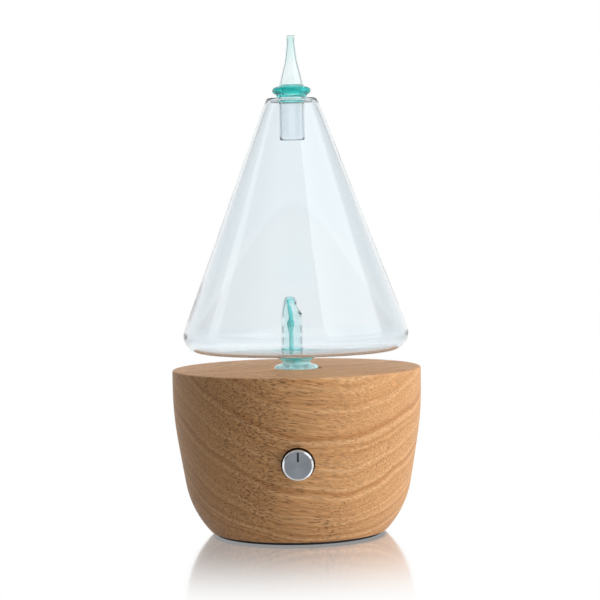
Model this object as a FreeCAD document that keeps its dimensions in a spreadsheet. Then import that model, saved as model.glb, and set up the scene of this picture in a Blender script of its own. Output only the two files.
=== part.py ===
import FreeCAD, Part
import math
import os
import re
import Sketcher

# A nebulising essential oil diffuser: a turned wooden base that holds an air pump and its
# control, a blown glass cone that stands in the base, and a glass cap in the cone's mouth.
# Millimetres, +Z up. The origin is on the axis, on the surface that the foot ring rests on,
# and the knob faces -Y.

Vector = FreeCAD.Vector

DIMENSIONS = {
    # Wooden housing, heights above its own underside
    "foot_height": 1.2,
    "foot_outer_radius": 36.8,
    "foot_inner_radius": 30.8,
    "wood_height": 71.9,
    "wood_radius": 55,
    "wood_bottom_radius": 39,
    "wood_edge": 0.4,
    "flare_radius": 142,
    "flare_height": 64,
    "lean_angle": 9.5,
    "straight_length": 18.8,
    "belly_radius": 42,
    "cavity_radius": 31,
    "cavity_height": 58,
    "recess_radius": 10.8,
    "recess_depth": 3,
    "fit_gap": 0.1,
    # Bottom plate and its fasteners
    "plate_radius": 37,
    "plate_thickness": 3,
    "intake_circle": 27.5,
    "intake_radius": 1.5,
    "screw_circle": 34,
    "screw_radius": 1.5,
    "screw_head_radius": 2.7,
    "screw_head_height": 1.5,
    "pilot_radius": 1.2,
    "pilot_depth": 2.4,
    "insert_radius": 2.1,
    "insert_length": 6,
    # Silicone socket that holds the glass, and its fitting, heights below the wood's top
    "socket_radius": 7.4,
    "socket_length": 20,
    "socket_floor": 2.5,
    "socket_lip": 1.6,
    "retainer_radius": 12,
    "retainer_thickness": 1.5,
    "fitting_radius": 2,
    "fitting_bore": 1,
    "fitting_flange_radius": 4,
    "fitting_length": 5,
    "tube_radius": 2.9,
    "tube_bend": 8,
    # Glass reservoir, heights above the wood's top
    "glass_wall": 1.8,
    "cone_height": 119.2,
    "cone_top_radius": 11.2,
    "cone_lean": 20.6,
    "floor_height": 7.5,
    "corner_radius": 7.5,
    "sag_radius": 13.5,
    "sag_height": 5.3,
    "waist_radius": 6,
    "waist_height": 3.4,
    "glass_foot_radius": 10,
    "glass_foot_drop": 1.2,
    "glass_foot_rise": 0.6,
    "stub_radius": 4.9,
    "stub_tip_radius": 4.7,
    "stub_length": 16,
    "stub_bore": 2.6,
    "air_bore": 1.1,
    "foot_hollow_radius": 9,
    "waist_hollow_radius": 16,
    "floor_sweep_radius": 300,
    "well_height": 6.6,
    "mouth_radius": 6,
    "seat_slope": 0.74,
    # Nozzle in the reservoir
    "nozzle_offset": 1.6,
    "apex_offset": 3.8,
    "shroud_radius": 4.8,
    "shroud_wall": 1,
    "shroud_foot_radius": 5.6,
    "shroud_foot_length": 3.6,
    "shroud_hollow_radius": 5.5,
    "shroud_foot_height": 6.8,
    "shroud_shoulder": 25,
    "shroud_height": 31.4,
    "shroud_tip_radius": 1,
    "shroud_mouth_radius": 2.2,
    "shroud_mouth_height": 22.5,
    "shroud_mouth_tilt": 62,
    "jet_radius": 1,
    "jet_bore": 0.45,
    "jet_bulb_radius": 1.55,
    "jet_bulb_length": 4.5,
    "jet_bulb_height": 18.25,
    "riser_radius": 0.55,
    "riser_bore": 0.25,
    # Glass cap, heights above the wood's top
    "cap_stem_radius": 5.65,
    "cap_stem_low": 100.2,
    "cap_stem_high": 118,
    "cap_seat_radius": 7.5,
    "cap_seat_height": 120.5,
    "cap_bead_radius": 8.7,
    "cap_bead_height": 121.8,
    "cap_bead_section": 1.3,
    "chimney_root_radius": 5.4,
    "chimney_root_height": 124.6,
    "chimney_hip_radius": 4.95,
    "chimney_hip_height": 127.6,
    "chimney_slope_radius": 3.95,
    "chimney_slope_height": 131.2,
    "chimney_neck_radius": 2.4,
    "chimney_neck_height": 136.7,
    "chimney_hollow_radius": 14,
    "cap_height": 146.4,
    "cap_tip_radius": 1.9,
    "cap_wall": 0.9,
    # Knob, its height above the wood's underside, depths in front of the axis
    "knob_height": 35.4,
    "knob_hole_radius": 7.2,
    "knob_radius": 6.55,
    "knob_front": 56.2,
    "knob_back": 43,
    "knob_chamfer": 0.8,
    "knob_wall": 1.2,
    "pointer_width": 0.9,
    "pointer_length": 4,
    "pointer_depth": 0.5,
    # Potentiometer behind the knob
    "pot_face": 25,
    "pot_radius": 8,
    "pot_depth": 8,
    "pot_wall": 0.8,
    "bushing_radius": 3.5,
    "bushing_length": 6,
    "shaft_radius": 3,
    "shaft_clearance": 0.05,
    "shaft_front": 53.5,
    "wiper_radius": 6,
    "pot_disc_thickness": 1.2,
    "pot_terminal_width": 1.4,
    "pot_terminal_length": 6.8,
    "terminal_thickness": 0.6,
    "bracket_thickness": 1.5,
    "bracket_width": 20,
    "bracket_top": 47,
    "bracket_foot": 12,
    "nut_width": 10,
    "nut_thickness": 2.2,
    "washer_radius": 5.4,
    "washer_thickness": 0.5,
    # Diaphragm air pump, lying along X
    "pump_depth": 4,
    "pump_height": 17.2,
    "motor_radius": 10,
    "motor_wall": 0.8,
    "motor_start": -3,
    "motor_length": 26,
    "endcap_thickness": 1.5,
    "magnet_inner_radius": 8,
    "armature_radius": 7.4,
    "armature_length": 14,
    "motor_shaft_radius": 1,
    "eccentric_radius": 4.5,
    "eccentric_width": 4,
    "crank_pin_radius": 0.9,
    "crank_pin_length": 3.5,
    "crank_offset": 2.1,
    "wobble_radius": 7.2,
    "wobble_thickness": 1.2,
    "cup_circle": 5,
    "cup_radius": 2.2,
    "cup_depth": 0.9,
    "cup_pin_radius": 1.4,
    "valve_radius": 0.6,
    "chamber_radius": 7,
    "chamber_depth": 2.2,
    "stack_screw_radius": 1,
    "stack_screw_head_radius": 1.6,
    "pump_side": 22,
    "crankcase_length": 13,
    "crankcase_bore": 8.4,
    "diaphragm_thickness": 1.5,
    "valve_plate_thickness": 2,
    "pump_head_length": 5.5,
    "outlet_height": 32,
    "cradle_length": 44,
    "cradle_width": 18,
    "cradle_height": 10,
    "strap_thickness": 1,
    "strap_width": 8,
    "strap_place": 10,
    "strap_foot": 6,
    "pan_head_radius": 2.1,
    "pan_head_height": 1.4,
    # Control board under the ceiling of the cavity
    "board_radius": 27,
    "board_hole_radius": 10,
    "board_thickness": 1.6,
    "board_height": 49,
    "standoff_circle": 23,
    "standoff_radius": 3,
    "board_screw_head_radius": 2.5,
    "board_screw_head_height": 1.6,
    "timer_chip_length": 6,
    "timer_chip_width": 5,
    "timer_chip_height": 1.8,
    "capacitor_radius": 4,
    "capacitor_length": 11,
    "driver_length": 10,
    "driver_width": 4.5,
    "driver_height": 9,
    "connector_length": 7,
    "connector_width": 5,
    "connector_height": 6,
    # Power inlet in the back of the wood
    "jack_height": 13,
    "jack_radius": 4,
    "jack_flange_radius": 5.6,
    "jack_flange_thickness": 2,
    "jack_seat": 38,
    "jack_pocket_radius": 6.2,
    "jack_back": 28,
    "jack_bore": 2.85,
    "jack_bore_floor": 29.5,
    "jack_pin_radius": 1,
    "jack_pin_tip": 39.2,
    "jack_nut_width": 11,
    "jack_nut_thickness": 2,
    "jack_terminal_width": 2,
    "jack_terminal_length": 4,
    "lead_radius": 0.6,
    "lead_bend": 3,
    "lead_level": 36,
}

doc = FreeCAD.newDocument("essential_oil_diffuser")
sheet = doc.addObject("Spreadsheet::Sheet", "Size")
for row, (alias, number) in enumerate(DIMENSIONS.items(), start=1):
    sheet.set(f"A{row}", alias)
    sheet.set(f"B{row}", str(number))
    sheet.setAlias(f"B{row}", alias)
doc.recompute()

nodes = []

# Turns that point a piece's own Z axis along another one
TO_FRONT = (Vector(1, 0, 0), 90)
TO_BACK = (Vector(1, 0, 0), -90)
TO_RIGHT = (Vector(0, 1, 0), 90)

# Levels of the assembly
TOP = "foot_height + wood_height"
INSIDE = "foot_height + plate_thickness"
CEILING = "foot_height + cavity_height"
KNOB = "foot_height + knob_height"
JACK = "foot_height + jack_height"


def formula(text):
    """The text with each dimension's name pointed at its cell."""
    def cell(word):
        return "Size." + word[0] if word[0] in DIMENSIONS else word[0]
    return re.sub(r"[A-Za-z_]\w*", cell, str(text))


def value(text):
    """The number that a formula comes to."""
    return FreeCAD.Units.Quantity(sheet.evalExpression(formula(text))).Value


def place(piece, at, turn=None):
    """Give a piece its turn, and a place bound to the sheet."""
    if turn:
        piece.Placement = FreeCAD.Placement(Vector(), FreeCAD.Rotation(*turn))
    for axis, distance in zip("xyz", at):
        piece.setExpression("Placement.Base." + axis, formula(distance))


def keep(piece, label):
    """Name a finished sub-part and list it for export."""
    piece.Label = label
    nodes.append(piece)
    return piece


def primitive(kind, at, turn=None, **sizes):
    """A Part primitive whose sizes and place are formulas."""
    piece = doc.addObject("Part::" + kind, kind.lower())
    for name, size in sizes.items():
        piece.setExpression(name, formula(size))
    place(piece, at, turn)
    return piece


def cylinder(radius, height, at, turn=None):
    return primitive("Cylinder", at, turn, Radius=radius, Height=height)


def box(length, width, height, at):
    """A box centred on at in X and Y, and standing on it."""
    corner = (f"{at[0]} - ({length}) / 2", f"{at[1]} - ({width}) / 2", at[2])
    return primitive("Box", corner, Length=length, Width=width, Height=height)


def hexagon(width, height, at, turn=None):
    """A hexagonal prism of this width across its flats."""
    prism = primitive("Prism", at, turn, Circumradius=f"({width}) / sqrt(3)", Height=height)
    prism.Polygon = 6
    return prism


def fuse(*pieces):
    fusion = doc.addObject("Part::MultiFuse", "fusion")
    fusion.Shapes = list(pieces)
    return fusion


def cut(base, *tools):
    result = doc.addObject("Part::Cut", "cut")
    result.Base = base
    result.Tool = tools[0] if len(tools) == 1 else fuse(*tools)
    return result


def group(pieces):
    """Separate solids that share one node."""
    compound = doc.addObject("Part::Compound", "group")
    compound.Links = pieces
    return compound


def circle_of(count, radius, start=0):
    """The X and Y formulas of places spaced evenly on a circle."""
    angles = [start + 360 * index / count for index in range(count)]
    return [(f"{radius} * cos({angle})", f"{radius} * sin({angle})") for angle in angles]


def side(start, end, radius):
    """One side of an outline: a line, or an arc that bulges to its right for radius > 0."""
    if radius == 0:
        return Part.LineSegment(start, end)
    chord = end - start
    bulge = Vector(chord.y, -chord.x, 0).normalize() * math.copysign(1, radius)
    centre = (start + end) / 2 - bulge * math.sqrt(radius ** 2 - chord.Length ** 2 / 4)
    first = math.atan2(start.y - centre.y, start.x - centre.x)
    last = math.atan2(end.y - centre.y, end.x - centre.x)
    if radius < 0:
        first, last = last, first
    return Part.ArcOfCircle(Part.Circle(centre, Vector(0, 0, 1), abs(radius)), first, last)


def turned(outline, at=("0", "0", "0"), turn=None):
    """A body turned about its Z axis from an outline of (radius, height) corners.

    The corners run so that the solid lies on the left. A third entry is the radius of an
    arc that leads to that corner, negative where the arc curves inwards.
    """
    body = doc.addObject("PartDesign::Body", "turned")
    sketch = body.newObject("Sketcher::SketchObject", "outline")
    plane = [item for item in body.Origin.OriginFeatures if item.Role == "XZ_Plane"][0]
    sketch.AttachmentSupport = [(plane, "")]
    sketch.MapMode = "FlatFace"
    corners = [Vector(value(corner[0]), value(corner[1]), 0) for corner in outline]
    radii = [value(corner[2]) if len(corner) > 2 else 0 for corner in outline]
    ends = []
    for index, radius in enumerate(radii):
        sketch.addGeometry(side(corners[index - 1], corners[index], radius))
        ends.append((2, 1) if radius < 0 else (1, 2))
    for index, corner in enumerate(outline):
        following = (index + 1) % len(outline)
        end = ends[index][1]
        sketch.addConstraint(
            Sketcher.Constraint("Coincident", index, end, following, ends[following][0]))
        for kind, name, entry in (("DistanceX", "radius", 0), ("DistanceY", "height", 1)):
            distance = Sketcher.Constraint(kind, -1, 1, index, end, value(corner[entry]))
            number = sketch.addConstraint(distance)
            sketch.renameConstraint(number, f"{name}_{index}")
            sketch.setExpression(f"Constraints.{name}_{index}", formula(corner[entry]))
        if radii[index]:
            number = sketch.addConstraint(Sketcher.Constraint("Radius", index, abs(radii[index])))
            sketch.renameConstraint(number, f"arc_{index}")
            sketch.setExpression(f"Constraints.arc_{index}", formula(f"abs({corner[2]})"))
    turning = body.newObject("PartDesign::Revolution", "turning")
    turning.Profile = sketch
    turning.ReferenceAxis = (sketch, ["V_Axis"])
    turning.Angle = 360
    body.Tip = turning
    place(body, at, turn)
    return body


def route(points, bend):
    """Straight runs joined by tangent arcs of one radius."""
    corners = [Vector(*(value(number) for number in point)) for point in points]
    edges = []
    start = corners[0]
    for before, corner, after in zip(corners, corners[1:], corners[2:]):
        back = (before - corner).normalize()
        ahead = (after - corner).normalize()
        half = back.getAngle(ahead) / 2
        reach = bend / math.tan(half)
        middle = corner + (back + ahead).normalize() * (bend / math.sin(half) - bend)
        arc_start = corner + back * reach
        arc_end = corner + ahead * reach
        edges.append(Part.LineSegment(start, arc_start).toShape())
        edges.append(Part.Arc(arc_start, middle, arc_end).toShape())
        start = arc_end
    edges.append(Part.LineSegment(start, corners[-1]).toShape())
    return Part.Wire(edges)


def tube(points, radius, bend, bore="0"):
    """A round tube or rod along a route."""
    path = route(points, value(bend))
    start = path.Edges[0].Vertexes[0].Point
    direction = path.Edges[0].tangentAt(path.Edges[0].FirstParameter)

    def sweep(section_radius):
        section = Part.Wire([Part.makeCircle(section_radius, start, direction)])
        return path.makePipeShell([section], True, True)

    solid = sweep(value(radius))
    if value(bore):
        solid = solid.cut(sweep(value(bore)))
    piece = doc.addObject("Part::Feature", "tube")
    piece.Shape = solid
    return piece


# Housing ---------------------------------------------------------------------------------

# The outside is a bowl: a round belly, a straight lean, a gentle flare and an upright rim.
# The inside is one bore from below, with a rebate for the bottom plate, and the top has a
# shallow recess and a bore for the socket.
FLARE_START = "wood_radius - flare_radius * (1 - cos(lean_angle))"
FLARE_LOW = "flare_height - flare_radius * sin(lean_angle)"
wood_blank = turned([
    ("wood_bottom_radius", "0"),
    (f"{FLARE_START} - straight_length * sin(lean_angle)",
     f"{FLARE_LOW} - straight_length * cos(lean_angle)", "belly_radius"),
    (FLARE_START, FLARE_LOW),
    ("wood_radius", "flare_height", "flare_radius"),
    ("wood_radius", "wood_height - wood_edge"),
    ("wood_radius - wood_edge", "wood_height"),
    ("recess_radius", "wood_height"),
    ("recess_radius", "wood_height - recess_depth"),
    ("socket_radius + fit_gap", "wood_height - recess_depth"),
    ("socket_radius + fit_gap", "cavity_height"),
    ("cavity_radius", "cavity_height"),
    ("cavity_radius", "plate_thickness"),
    ("plate_radius + fit_gap", "plate_thickness"),
    ("plate_radius + fit_gap", "0"),
], at=("0", "0", "foot_height"))
wood_cuts = [
    cylinder("knob_hole_radius", "wood_radius", ("0", "6 - cavity_radius", KNOB), TO_FRONT),
    cylinder("jack_radius + fit_gap", "wood_radius", ("0", "jack_back", JACK), TO_BACK),
    cylinder("jack_pocket_radius", "wood_radius", ("0", "jack_seat", JACK), TO_BACK),
    cylinder("jack_nut_width / sqrt(3) + 0.4", "4", ("0", "cavity_radius - 3.5", JACK), TO_BACK),
]
wood_cuts += [cylinder("insert_radius + fit_gap", "insert_length + 0.5", (x, y, INSIDE))
              for x, y in circle_of(3, "screw_circle", 30)]
wood_cuts += [cylinder("screw_radius", "8", (x, y, CEILING))
              for x, y in circle_of(3, "standoff_circle", 30)]
keep(cut(wood_blank, *wood_cuts), "wood_housing")

keep(turned([
    ("foot_inner_radius", "0"),
    ("foot_outer_radius", "0"),
    ("foot_outer_radius", "foot_height"),
    ("foot_inner_radius", "foot_height"),
]), "foot_ring")

# The bottom plate has a ring of air intakes, countersunk screws into brass inserts, and
# pilot holes for the screws of the pump's strap and the potentiometer's bracket.
STRAP_SIDE = "motor_radius + 0.1 + strap_thickness"
STRAP_SCREWS = [("strap_place + strap_width / 2",
                 f"pump_depth + {sign} * ({STRAP_SIDE} + strap_foot / 2)") for sign in (-1, 1)]
BRACKET_SCREWS = [(f"{x}", "bracket_foot / 2 - pot_face + 1") for x in (-6.5, 6.5)]
plate_cuts = [cylinder("intake_radius", "plate_thickness", (x, y, "foot_height"))
              for x, y in circle_of(18, "intake_circle", 10)]
plate_cuts += [cylinder("screw_radius + fit_gap", "plate_thickness", (x, y, "foot_height"))
               for x, y in circle_of(3, "screw_circle", 30)]
plate_cuts += [cylinder("pilot_radius", "pilot_depth", (x, y, f"{INSIDE} - pilot_depth"))
               for x, y in STRAP_SCREWS + BRACKET_SCREWS]
plate_cuts += [primitive("Cone", (x, y, "foot_height"), Radius1="screw_head_radius",
                         Radius2="screw_radius", Height="screw_head_height")
               for x, y in circle_of(3, "screw_circle", 30)]
keep(cut(cylinder("plate_radius", "plate_thickness", ("0", "0", "foot_height")), *plate_cuts),
     "bottom_plate")


def countersunk_screw(at, length):
    """A countersunk screw whose flat head faces down."""
    head = primitive("Cone", at, Radius1="screw_head_radius - 0.05", Radius2="screw_radius",
                     Height="screw_head_height")
    return fuse(head, cylinder("screw_radius - 0.05", length, at))


keep(group([countersunk_screw((x, y, "foot_height"), "plate_thickness + insert_length - 1")
            for x, y in circle_of(3, "screw_circle", 30)]), "bottom_screws")
keep(group([cut(cylinder("insert_radius", "insert_length", (x, y, INSIDE)),
                cylinder("screw_radius", "insert_length", (x, y, INSIDE)))
            for x, y in circle_of(3, "screw_circle", 30)]), "threaded_inserts")

# Glass socket and air line ----------------------------------------------------------------

# The silicone socket lines the bore in the top, with a lip under the glass foot.
LIP_LOW = "-recess_depth"
SOCKET_FLOOR = "socket_floor - socket_length"
keep(turned([
    ("fitting_radius + 0.02", "-socket_length"),
    ("socket_radius", "-socket_length"),
    ("socket_radius", LIP_LOW),
    ("recess_radius - fit_gap", LIP_LOW),
    ("recess_radius - fit_gap", f"{LIP_LOW} + socket_lip"),
    ("stub_radius + 0.3", f"{LIP_LOW} + socket_lip"),
    ("stub_radius + 0.15", SOCKET_FLOOR),
    ("fitting_radius + 0.02", SOCKET_FLOOR),
], at=("0", "0", TOP)), "seat_socket")
keep(turned([
    ("socket_radius + 0.05", "-retainer_thickness"),
    ("retainer_radius", "-retainer_thickness"),
    ("retainer_radius", "0"),
    ("socket_radius + 0.05", "0"),
], at=("0", "0", CEILING)), "socket_retainer")
keep(turned([
    ("fitting_bore", "-fitting_length"),
    ("fitting_radius - 0.4", "-fitting_length"),
    ("fitting_radius + 0.1", "-fitting_length + 1.5"),
    ("fitting_radius - 0.1", "-fitting_length + 1.5"),
    ("fitting_radius - 0.1", "-1.2"),
    ("fitting_flange_radius", "-1.2"),
    ("fitting_flange_radius", "0"),
    ("fitting_radius", "0"),
    ("fitting_radius", "socket_floor - 0.4"),
    ("fitting_bore", "socket_floor - 0.4"),
], at=("0", "0", f"{TOP} - socket_length")), "air_fitting")

VALVE_START = "motor_start - crankcase_length - diaphragm_thickness"
HEAD_START = f"{VALVE_START} - valve_plate_thickness"
OUTLET = f"{HEAD_START} - pump_head_length / 2"
TUBE_LEVEL = "pump_height + 22.8"
keep(tube([
    (OUTLET, "pump_depth", "pump_height + pump_side / 2 + 1"),
    (OUTLET, "pump_depth", TUBE_LEVEL),
    ("0", "0", TUBE_LEVEL),
    ("0", "0", f"{TOP} - socket_length - 1.4"),
], "tube_radius", "tube_bend", "fitting_radius + 0.15"), "air_tube")

# Air pump ---------------------------------------------------------------------------------


def along_pump(start):
    """A place on the pump's axis."""
    return (start, "pump_depth", "pump_height")


# Every case piece of the pump is turned to run towards +X from its own start.
keep(cut(cylinder("motor_radius", "motor_length", along_pump("motor_start"), TO_RIGHT),
         cylinder("motor_radius - motor_wall", "motor_length - motor_wall",
                  along_pump("motor_start + motor_wall"), TO_RIGHT),
         cylinder("3", "motor_length", along_pump("motor_start"), TO_RIGHT)), "motor_can")
MOTOR_END = "motor_start + motor_length"
keep(cut(cylinder("motor_radius", "endcap_thickness", along_pump(MOTOR_END), TO_RIGHT),
         cylinder("motor_shaft_radius + 0.1", "endcap_thickness - 0.5",
                  along_pump(MOTOR_END), TO_RIGHT)), "motor_endcap")
magnet_ring = cut(
    cylinder("motor_radius - motor_wall - 0.05", "armature_length + 2",
             along_pump("motor_start + 4"), TO_RIGHT),
    cylinder("magnet_inner_radius", "armature_length + 2",
             along_pump("motor_start + 4"), TO_RIGHT))
keep(cut(magnet_ring, box("40", "5", "40", ("motor_start + 12", "pump_depth", "pump_height - 20"))),
     "motor_magnets")
keep(cylinder("motor_shaft_radius", "motor_length + 6.6", along_pump("motor_start - 6"), TO_RIGHT),
     "motor_shaft")
keep(cut(cylinder("armature_radius", "armature_length", along_pump("motor_start + 5"), TO_RIGHT),
         cylinder("motor_shaft_radius + 0.02", "armature_length",
                  along_pump("motor_start + 5"), TO_RIGHT)), "motor_armature")
# The eccentric carries a leaning pin that rocks the wobble plate.
ECCENTRIC_START = "motor_start - 5"
crank_pin = cylinder("crank_pin_radius", "crank_pin_length",
                     (f"{ECCENTRIC_START} + 0.5", "pump_depth + crank_offset", "pump_height"),
                     (Vector(0.12, 1, 0), -90))
keep(cut(fuse(cylinder("eccentric_radius", "eccentric_width", along_pump(ECCENTRIC_START),
                       TO_RIGHT), crank_pin),
         cylinder("motor_shaft_radius + 0.02", "eccentric_width + 2",
                  along_pump(ECCENTRIC_START), TO_RIGHT)), "eccentric")

CRANKCASE_START = "motor_start - crankcase_length"
pump_low = "pump_height - pump_side / 2"


def pump_block(length, start):
    """A square slice of the pump's head stack, which starts here and runs towards +X."""
    return box(length, "pump_side", "pump_side", (f"{start} + ({length}) / 2", "pump_depth", pump_low))


def stack_screw_places():
    """The four corners of the head stack, as offsets from the pump's axis."""
    return [(y, z) for y in (-8.5, 8.5) for z in (-8.5, 8.5)]


def stack_bores(radius, start, length):
    """Holes for the stack's screws."""
    return [cylinder(radius, length, (start, f"pump_depth + {y}", f"pump_height + {z}"), TO_RIGHT)
            for y, z in stack_screw_places()]


keep(cut(pump_block("crankcase_length", CRANKCASE_START),
         cylinder("crankcase_bore", "crankcase_length", along_pump(CRANKCASE_START), TO_RIGHT),
         *stack_bores("stack_screw_radius", CRANKCASE_START, "8")), "pump_crankcase")
# Three cups on the diaphragm hang from the wobble plate.
cup_places = circle_of(3, "cup_circle", 90)
keep(cut(pump_block("diaphragm_thickness", VALVE_START),
         *stack_bores("stack_screw_radius", VALVE_START, "diaphragm_thickness"),
         *[cylinder("cup_radius", "cup_depth",
                    (VALVE_START, f"pump_depth + {x}", f"pump_height + {y}"), TO_RIGHT)
           for x, y in cup_places]), "pump_diaphragm")
keep(fuse(cylinder("wobble_radius", "wobble_thickness", along_pump(f"{CRANKCASE_START} + 2"),
                   TO_RIGHT),
          *[cylinder("cup_pin_radius", "2",
                     (CRANKCASE_START, f"pump_depth + {x}", f"pump_height + {y}"), TO_RIGHT)
            for x, y in cup_places]), "wobble_plate")
keep(cut(pump_block("valve_plate_thickness", HEAD_START),
         *stack_bores("stack_screw_radius", HEAD_START, "valve_plate_thickness"),
         *[cylinder("valve_radius", "valve_plate_thickness",
                    (HEAD_START, f"pump_depth + {x}", f"pump_height + {y}"), TO_RIGHT)
           for x, y in cup_places]), "valve_plate")
HEAD_END = f"{HEAD_START} - pump_head_length"
PUMP_TOP = "pump_height + pump_side / 2"
keep(cut(fuse(pump_block("pump_head_length", HEAD_END),
              cylinder("fitting_radius", f"outlet_height - ({PUMP_TOP})",
                       (OUTLET, "pump_depth", PUMP_TOP))),
         *stack_bores("stack_screw_radius", HEAD_END, "pump_head_length"),
         cylinder("chamber_radius", "chamber_depth", along_pump(f"{HEAD_START} - chamber_depth"),
                  TO_RIGHT),
         cylinder("fitting_bore", "outlet_height", (OUTLET, "pump_depth", "pump_height"))),
     "pump_head")
keep(group([fuse(cylinder("stack_screw_head_radius", "1.2",
                          (f"{HEAD_END} - 1.2", f"pump_depth + {y}", f"pump_height + {z}"),
                          TO_RIGHT),
                 cylinder("stack_screw_radius - 0.05", "pump_head_length + 10.5",
                          (f"{HEAD_END} - 0.5", f"pump_depth + {y}", f"pump_height + {z}"),
                          TO_RIGHT))
            for y, z in stack_screw_places()]), "pump_screws")

# A foam cradle lies under the pump, and a metal strap holds the motor down on it.
CRADLE_MIDDLE = f"({MOTOR_END} + {HEAD_END}) / 2"
keep(cut(box("cradle_length", "cradle_width", f"cradle_height - ({INSIDE})",
             (CRADLE_MIDDLE, "pump_depth", INSIDE)),
         cylinder("motor_radius + 0.05", "motor_length + 2", along_pump("motor_start"), TO_RIGHT),
         box("pump_side", "pump_side + 1", "pump_side",
             ("motor_start - pump_side / 2", "pump_depth", pump_low))), "pump_cradle")
strap_outside = fuse(
    cylinder(STRAP_SIDE, "strap_width", along_pump("strap_place"), TO_RIGHT),
    box("strap_width", f"2 * ({STRAP_SIDE})", f"pump_height - ({INSIDE})",
        ("strap_place + strap_width / 2", "pump_depth", INSIDE)),
    box("strap_width", f"2 * ({STRAP_SIDE} + strap_foot)", "strap_thickness",
        ("strap_place + strap_width / 2", "pump_depth", INSIDE)))
keep(cut(strap_outside,
         cylinder("motor_radius + 0.1", "strap_width", along_pump("strap_place"), TO_RIGHT),
         box("strap_width", "2 * motor_radius + 0.2", f"pump_height - ({INSIDE})",
             ("strap_place + strap_width / 2", "pump_depth", INSIDE)),
         *[cylinder("pilot_radius", "strap_thickness", (x, y, INSIDE)) for x, y in STRAP_SCREWS]),
     "pump_strap")


def pan_screw(x, y, thickness):
    """A pan-head screw that holds a sheet of this thickness on the bottom plate."""
    head = cylinder("pan_head_radius", "pan_head_height", (x, y, f"{INSIDE} + {thickness}"))
    return fuse(head, cylinder("pilot_radius - 0.1", f"{thickness} + pilot_depth",
                               (x, y, f"{INSIDE} - pilot_depth")))


keep(group([pan_screw(x, y, "strap_thickness") for x, y in STRAP_SCREWS]),
     "strap_screws")

# Knob and potentiometer -------------------------------------------------------------------


def behind_knob(depth):
    """A place on the knob's axis, this far in front of the housing's axis."""
    return ("0", f"-({depth})", KNOB)


POINTER_LOW = f"{KNOB} + knob_radius - knob_chamfer - pointer_length - 0.3"
keep(cut(turned([
    ("knob_radius - knob_wall", "0"),
    ("knob_radius", "0"),
    ("knob_radius", "knob_front - knob_back - knob_chamfer"),
    ("knob_radius - knob_chamfer", "knob_front - knob_back"),
    ("0", "knob_front - knob_back"),
    ("0", "knob_front - knob_back - knob_wall"),
    ("knob_radius - knob_wall", "knob_front - knob_back - knob_wall"),
], at=behind_knob("knob_back"), turn=TO_FRONT),
    box("pointer_width", "2 * pointer_depth", "pointer_length",
        ("0", "-knob_front", POINTER_LOW))), "knob_shell")
keep(box("pointer_width - 0.02", "pointer_depth - 0.15", "pointer_length - 0.02",
         ("0", "0.075 - knob_front + pointer_depth / 2", f"{POINTER_LOW} + 0.01")),
     "knob_pointer")
keep(cut(cylinder("knob_radius - knob_wall - 0.03", "knob_front - knob_wall - knob_back - 0.5",
                  behind_knob("knob_back + 0.5"), TO_FRONT),
         cylinder("shaft_radius + 0.02", "shaft_front - knob_back - 0.4",
                  behind_knob("knob_back + 0.5"), TO_FRONT)), "knob_core")
keep(cylinder("shaft_radius", "shaft_front - pot_face + 3", behind_knob("pot_face - 3"), TO_FRONT),
     "potentiometer_shaft")
keep(cylinder("wiper_radius", "pot_disc_thickness", behind_knob("pot_face - 4.3"), TO_FRONT),
     "potentiometer_wiper")

POT_BACK = "pot_face - pot_depth"
keep(cut(fuse(cylinder("pot_radius", "pot_depth", behind_knob(POT_BACK), TO_FRONT),
              cylinder("bushing_radius", "bushing_length + 1", behind_knob("pot_face - 1"),
                       TO_FRONT)),
         cylinder("pot_radius - pot_wall", "pot_depth - 1.6", behind_knob(f"{POT_BACK} + pot_wall"),
                  TO_FRONT),
         cylinder("shaft_radius + shaft_clearance", "bushing_length + 3",
                  behind_knob("pot_face - 2"), TO_FRONT)), "potentiometer_can")
keep(cylinder("pot_radius - pot_wall - 0.05", "pot_disc_thickness",
              behind_knob(f"{POT_BACK} + pot_wall"), TO_FRONT), "potentiometer_track")
keep(group([box("pot_terminal_width", "terminal_thickness", "pot_terminal_length",
                (f"{x}", f"2 - ({POT_BACK}) - 4", f"{KNOB} - pot_radius - pot_terminal_length"))
            for x in (-5, 0, 5)]), "potentiometer_terminals")
BRACKET_BACK = "-pot_face - bracket_thickness / 2"
keep(cut(fuse(box("bracket_width", "bracket_thickness", f"bracket_top - ({INSIDE})",
                  ("0", BRACKET_BACK, INSIDE)),
              box("bracket_width", "bracket_foot", "bracket_thickness",
                  ("0", "bracket_foot / 2 - pot_face - bracket_thickness", INSIDE))),
         cylinder("bushing_radius + 0.05", "6", behind_knob("pot_face - 1"), TO_FRONT),
         *[cylinder("pilot_radius", "bracket_thickness", (x, y, INSIDE)) for x, y in BRACKET_SCREWS]),
     "potentiometer_bracket")
keep(group([pan_screw(x, y, "bracket_thickness") for x, y in BRACKET_SCREWS]),
     "bracket_screws")
WASHER_BACK = "pot_face + bracket_thickness"
keep(cut(cylinder("washer_radius", "washer_thickness", behind_knob(WASHER_BACK), TO_FRONT),
         cylinder("bushing_radius + 0.05", "washer_thickness", behind_knob(WASHER_BACK), TO_FRONT)),
     "potentiometer_washer")
NUT_BACK = f"{WASHER_BACK} + washer_thickness"
keep(cut(hexagon("nut_width", "nut_thickness", behind_knob(NUT_BACK), TO_FRONT),
         cylinder("bushing_radius + 0.02", "nut_thickness", behind_knob(NUT_BACK), TO_FRONT)),
     "potentiometer_nut")

# Control board ----------------------------------------------------------------------------

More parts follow.
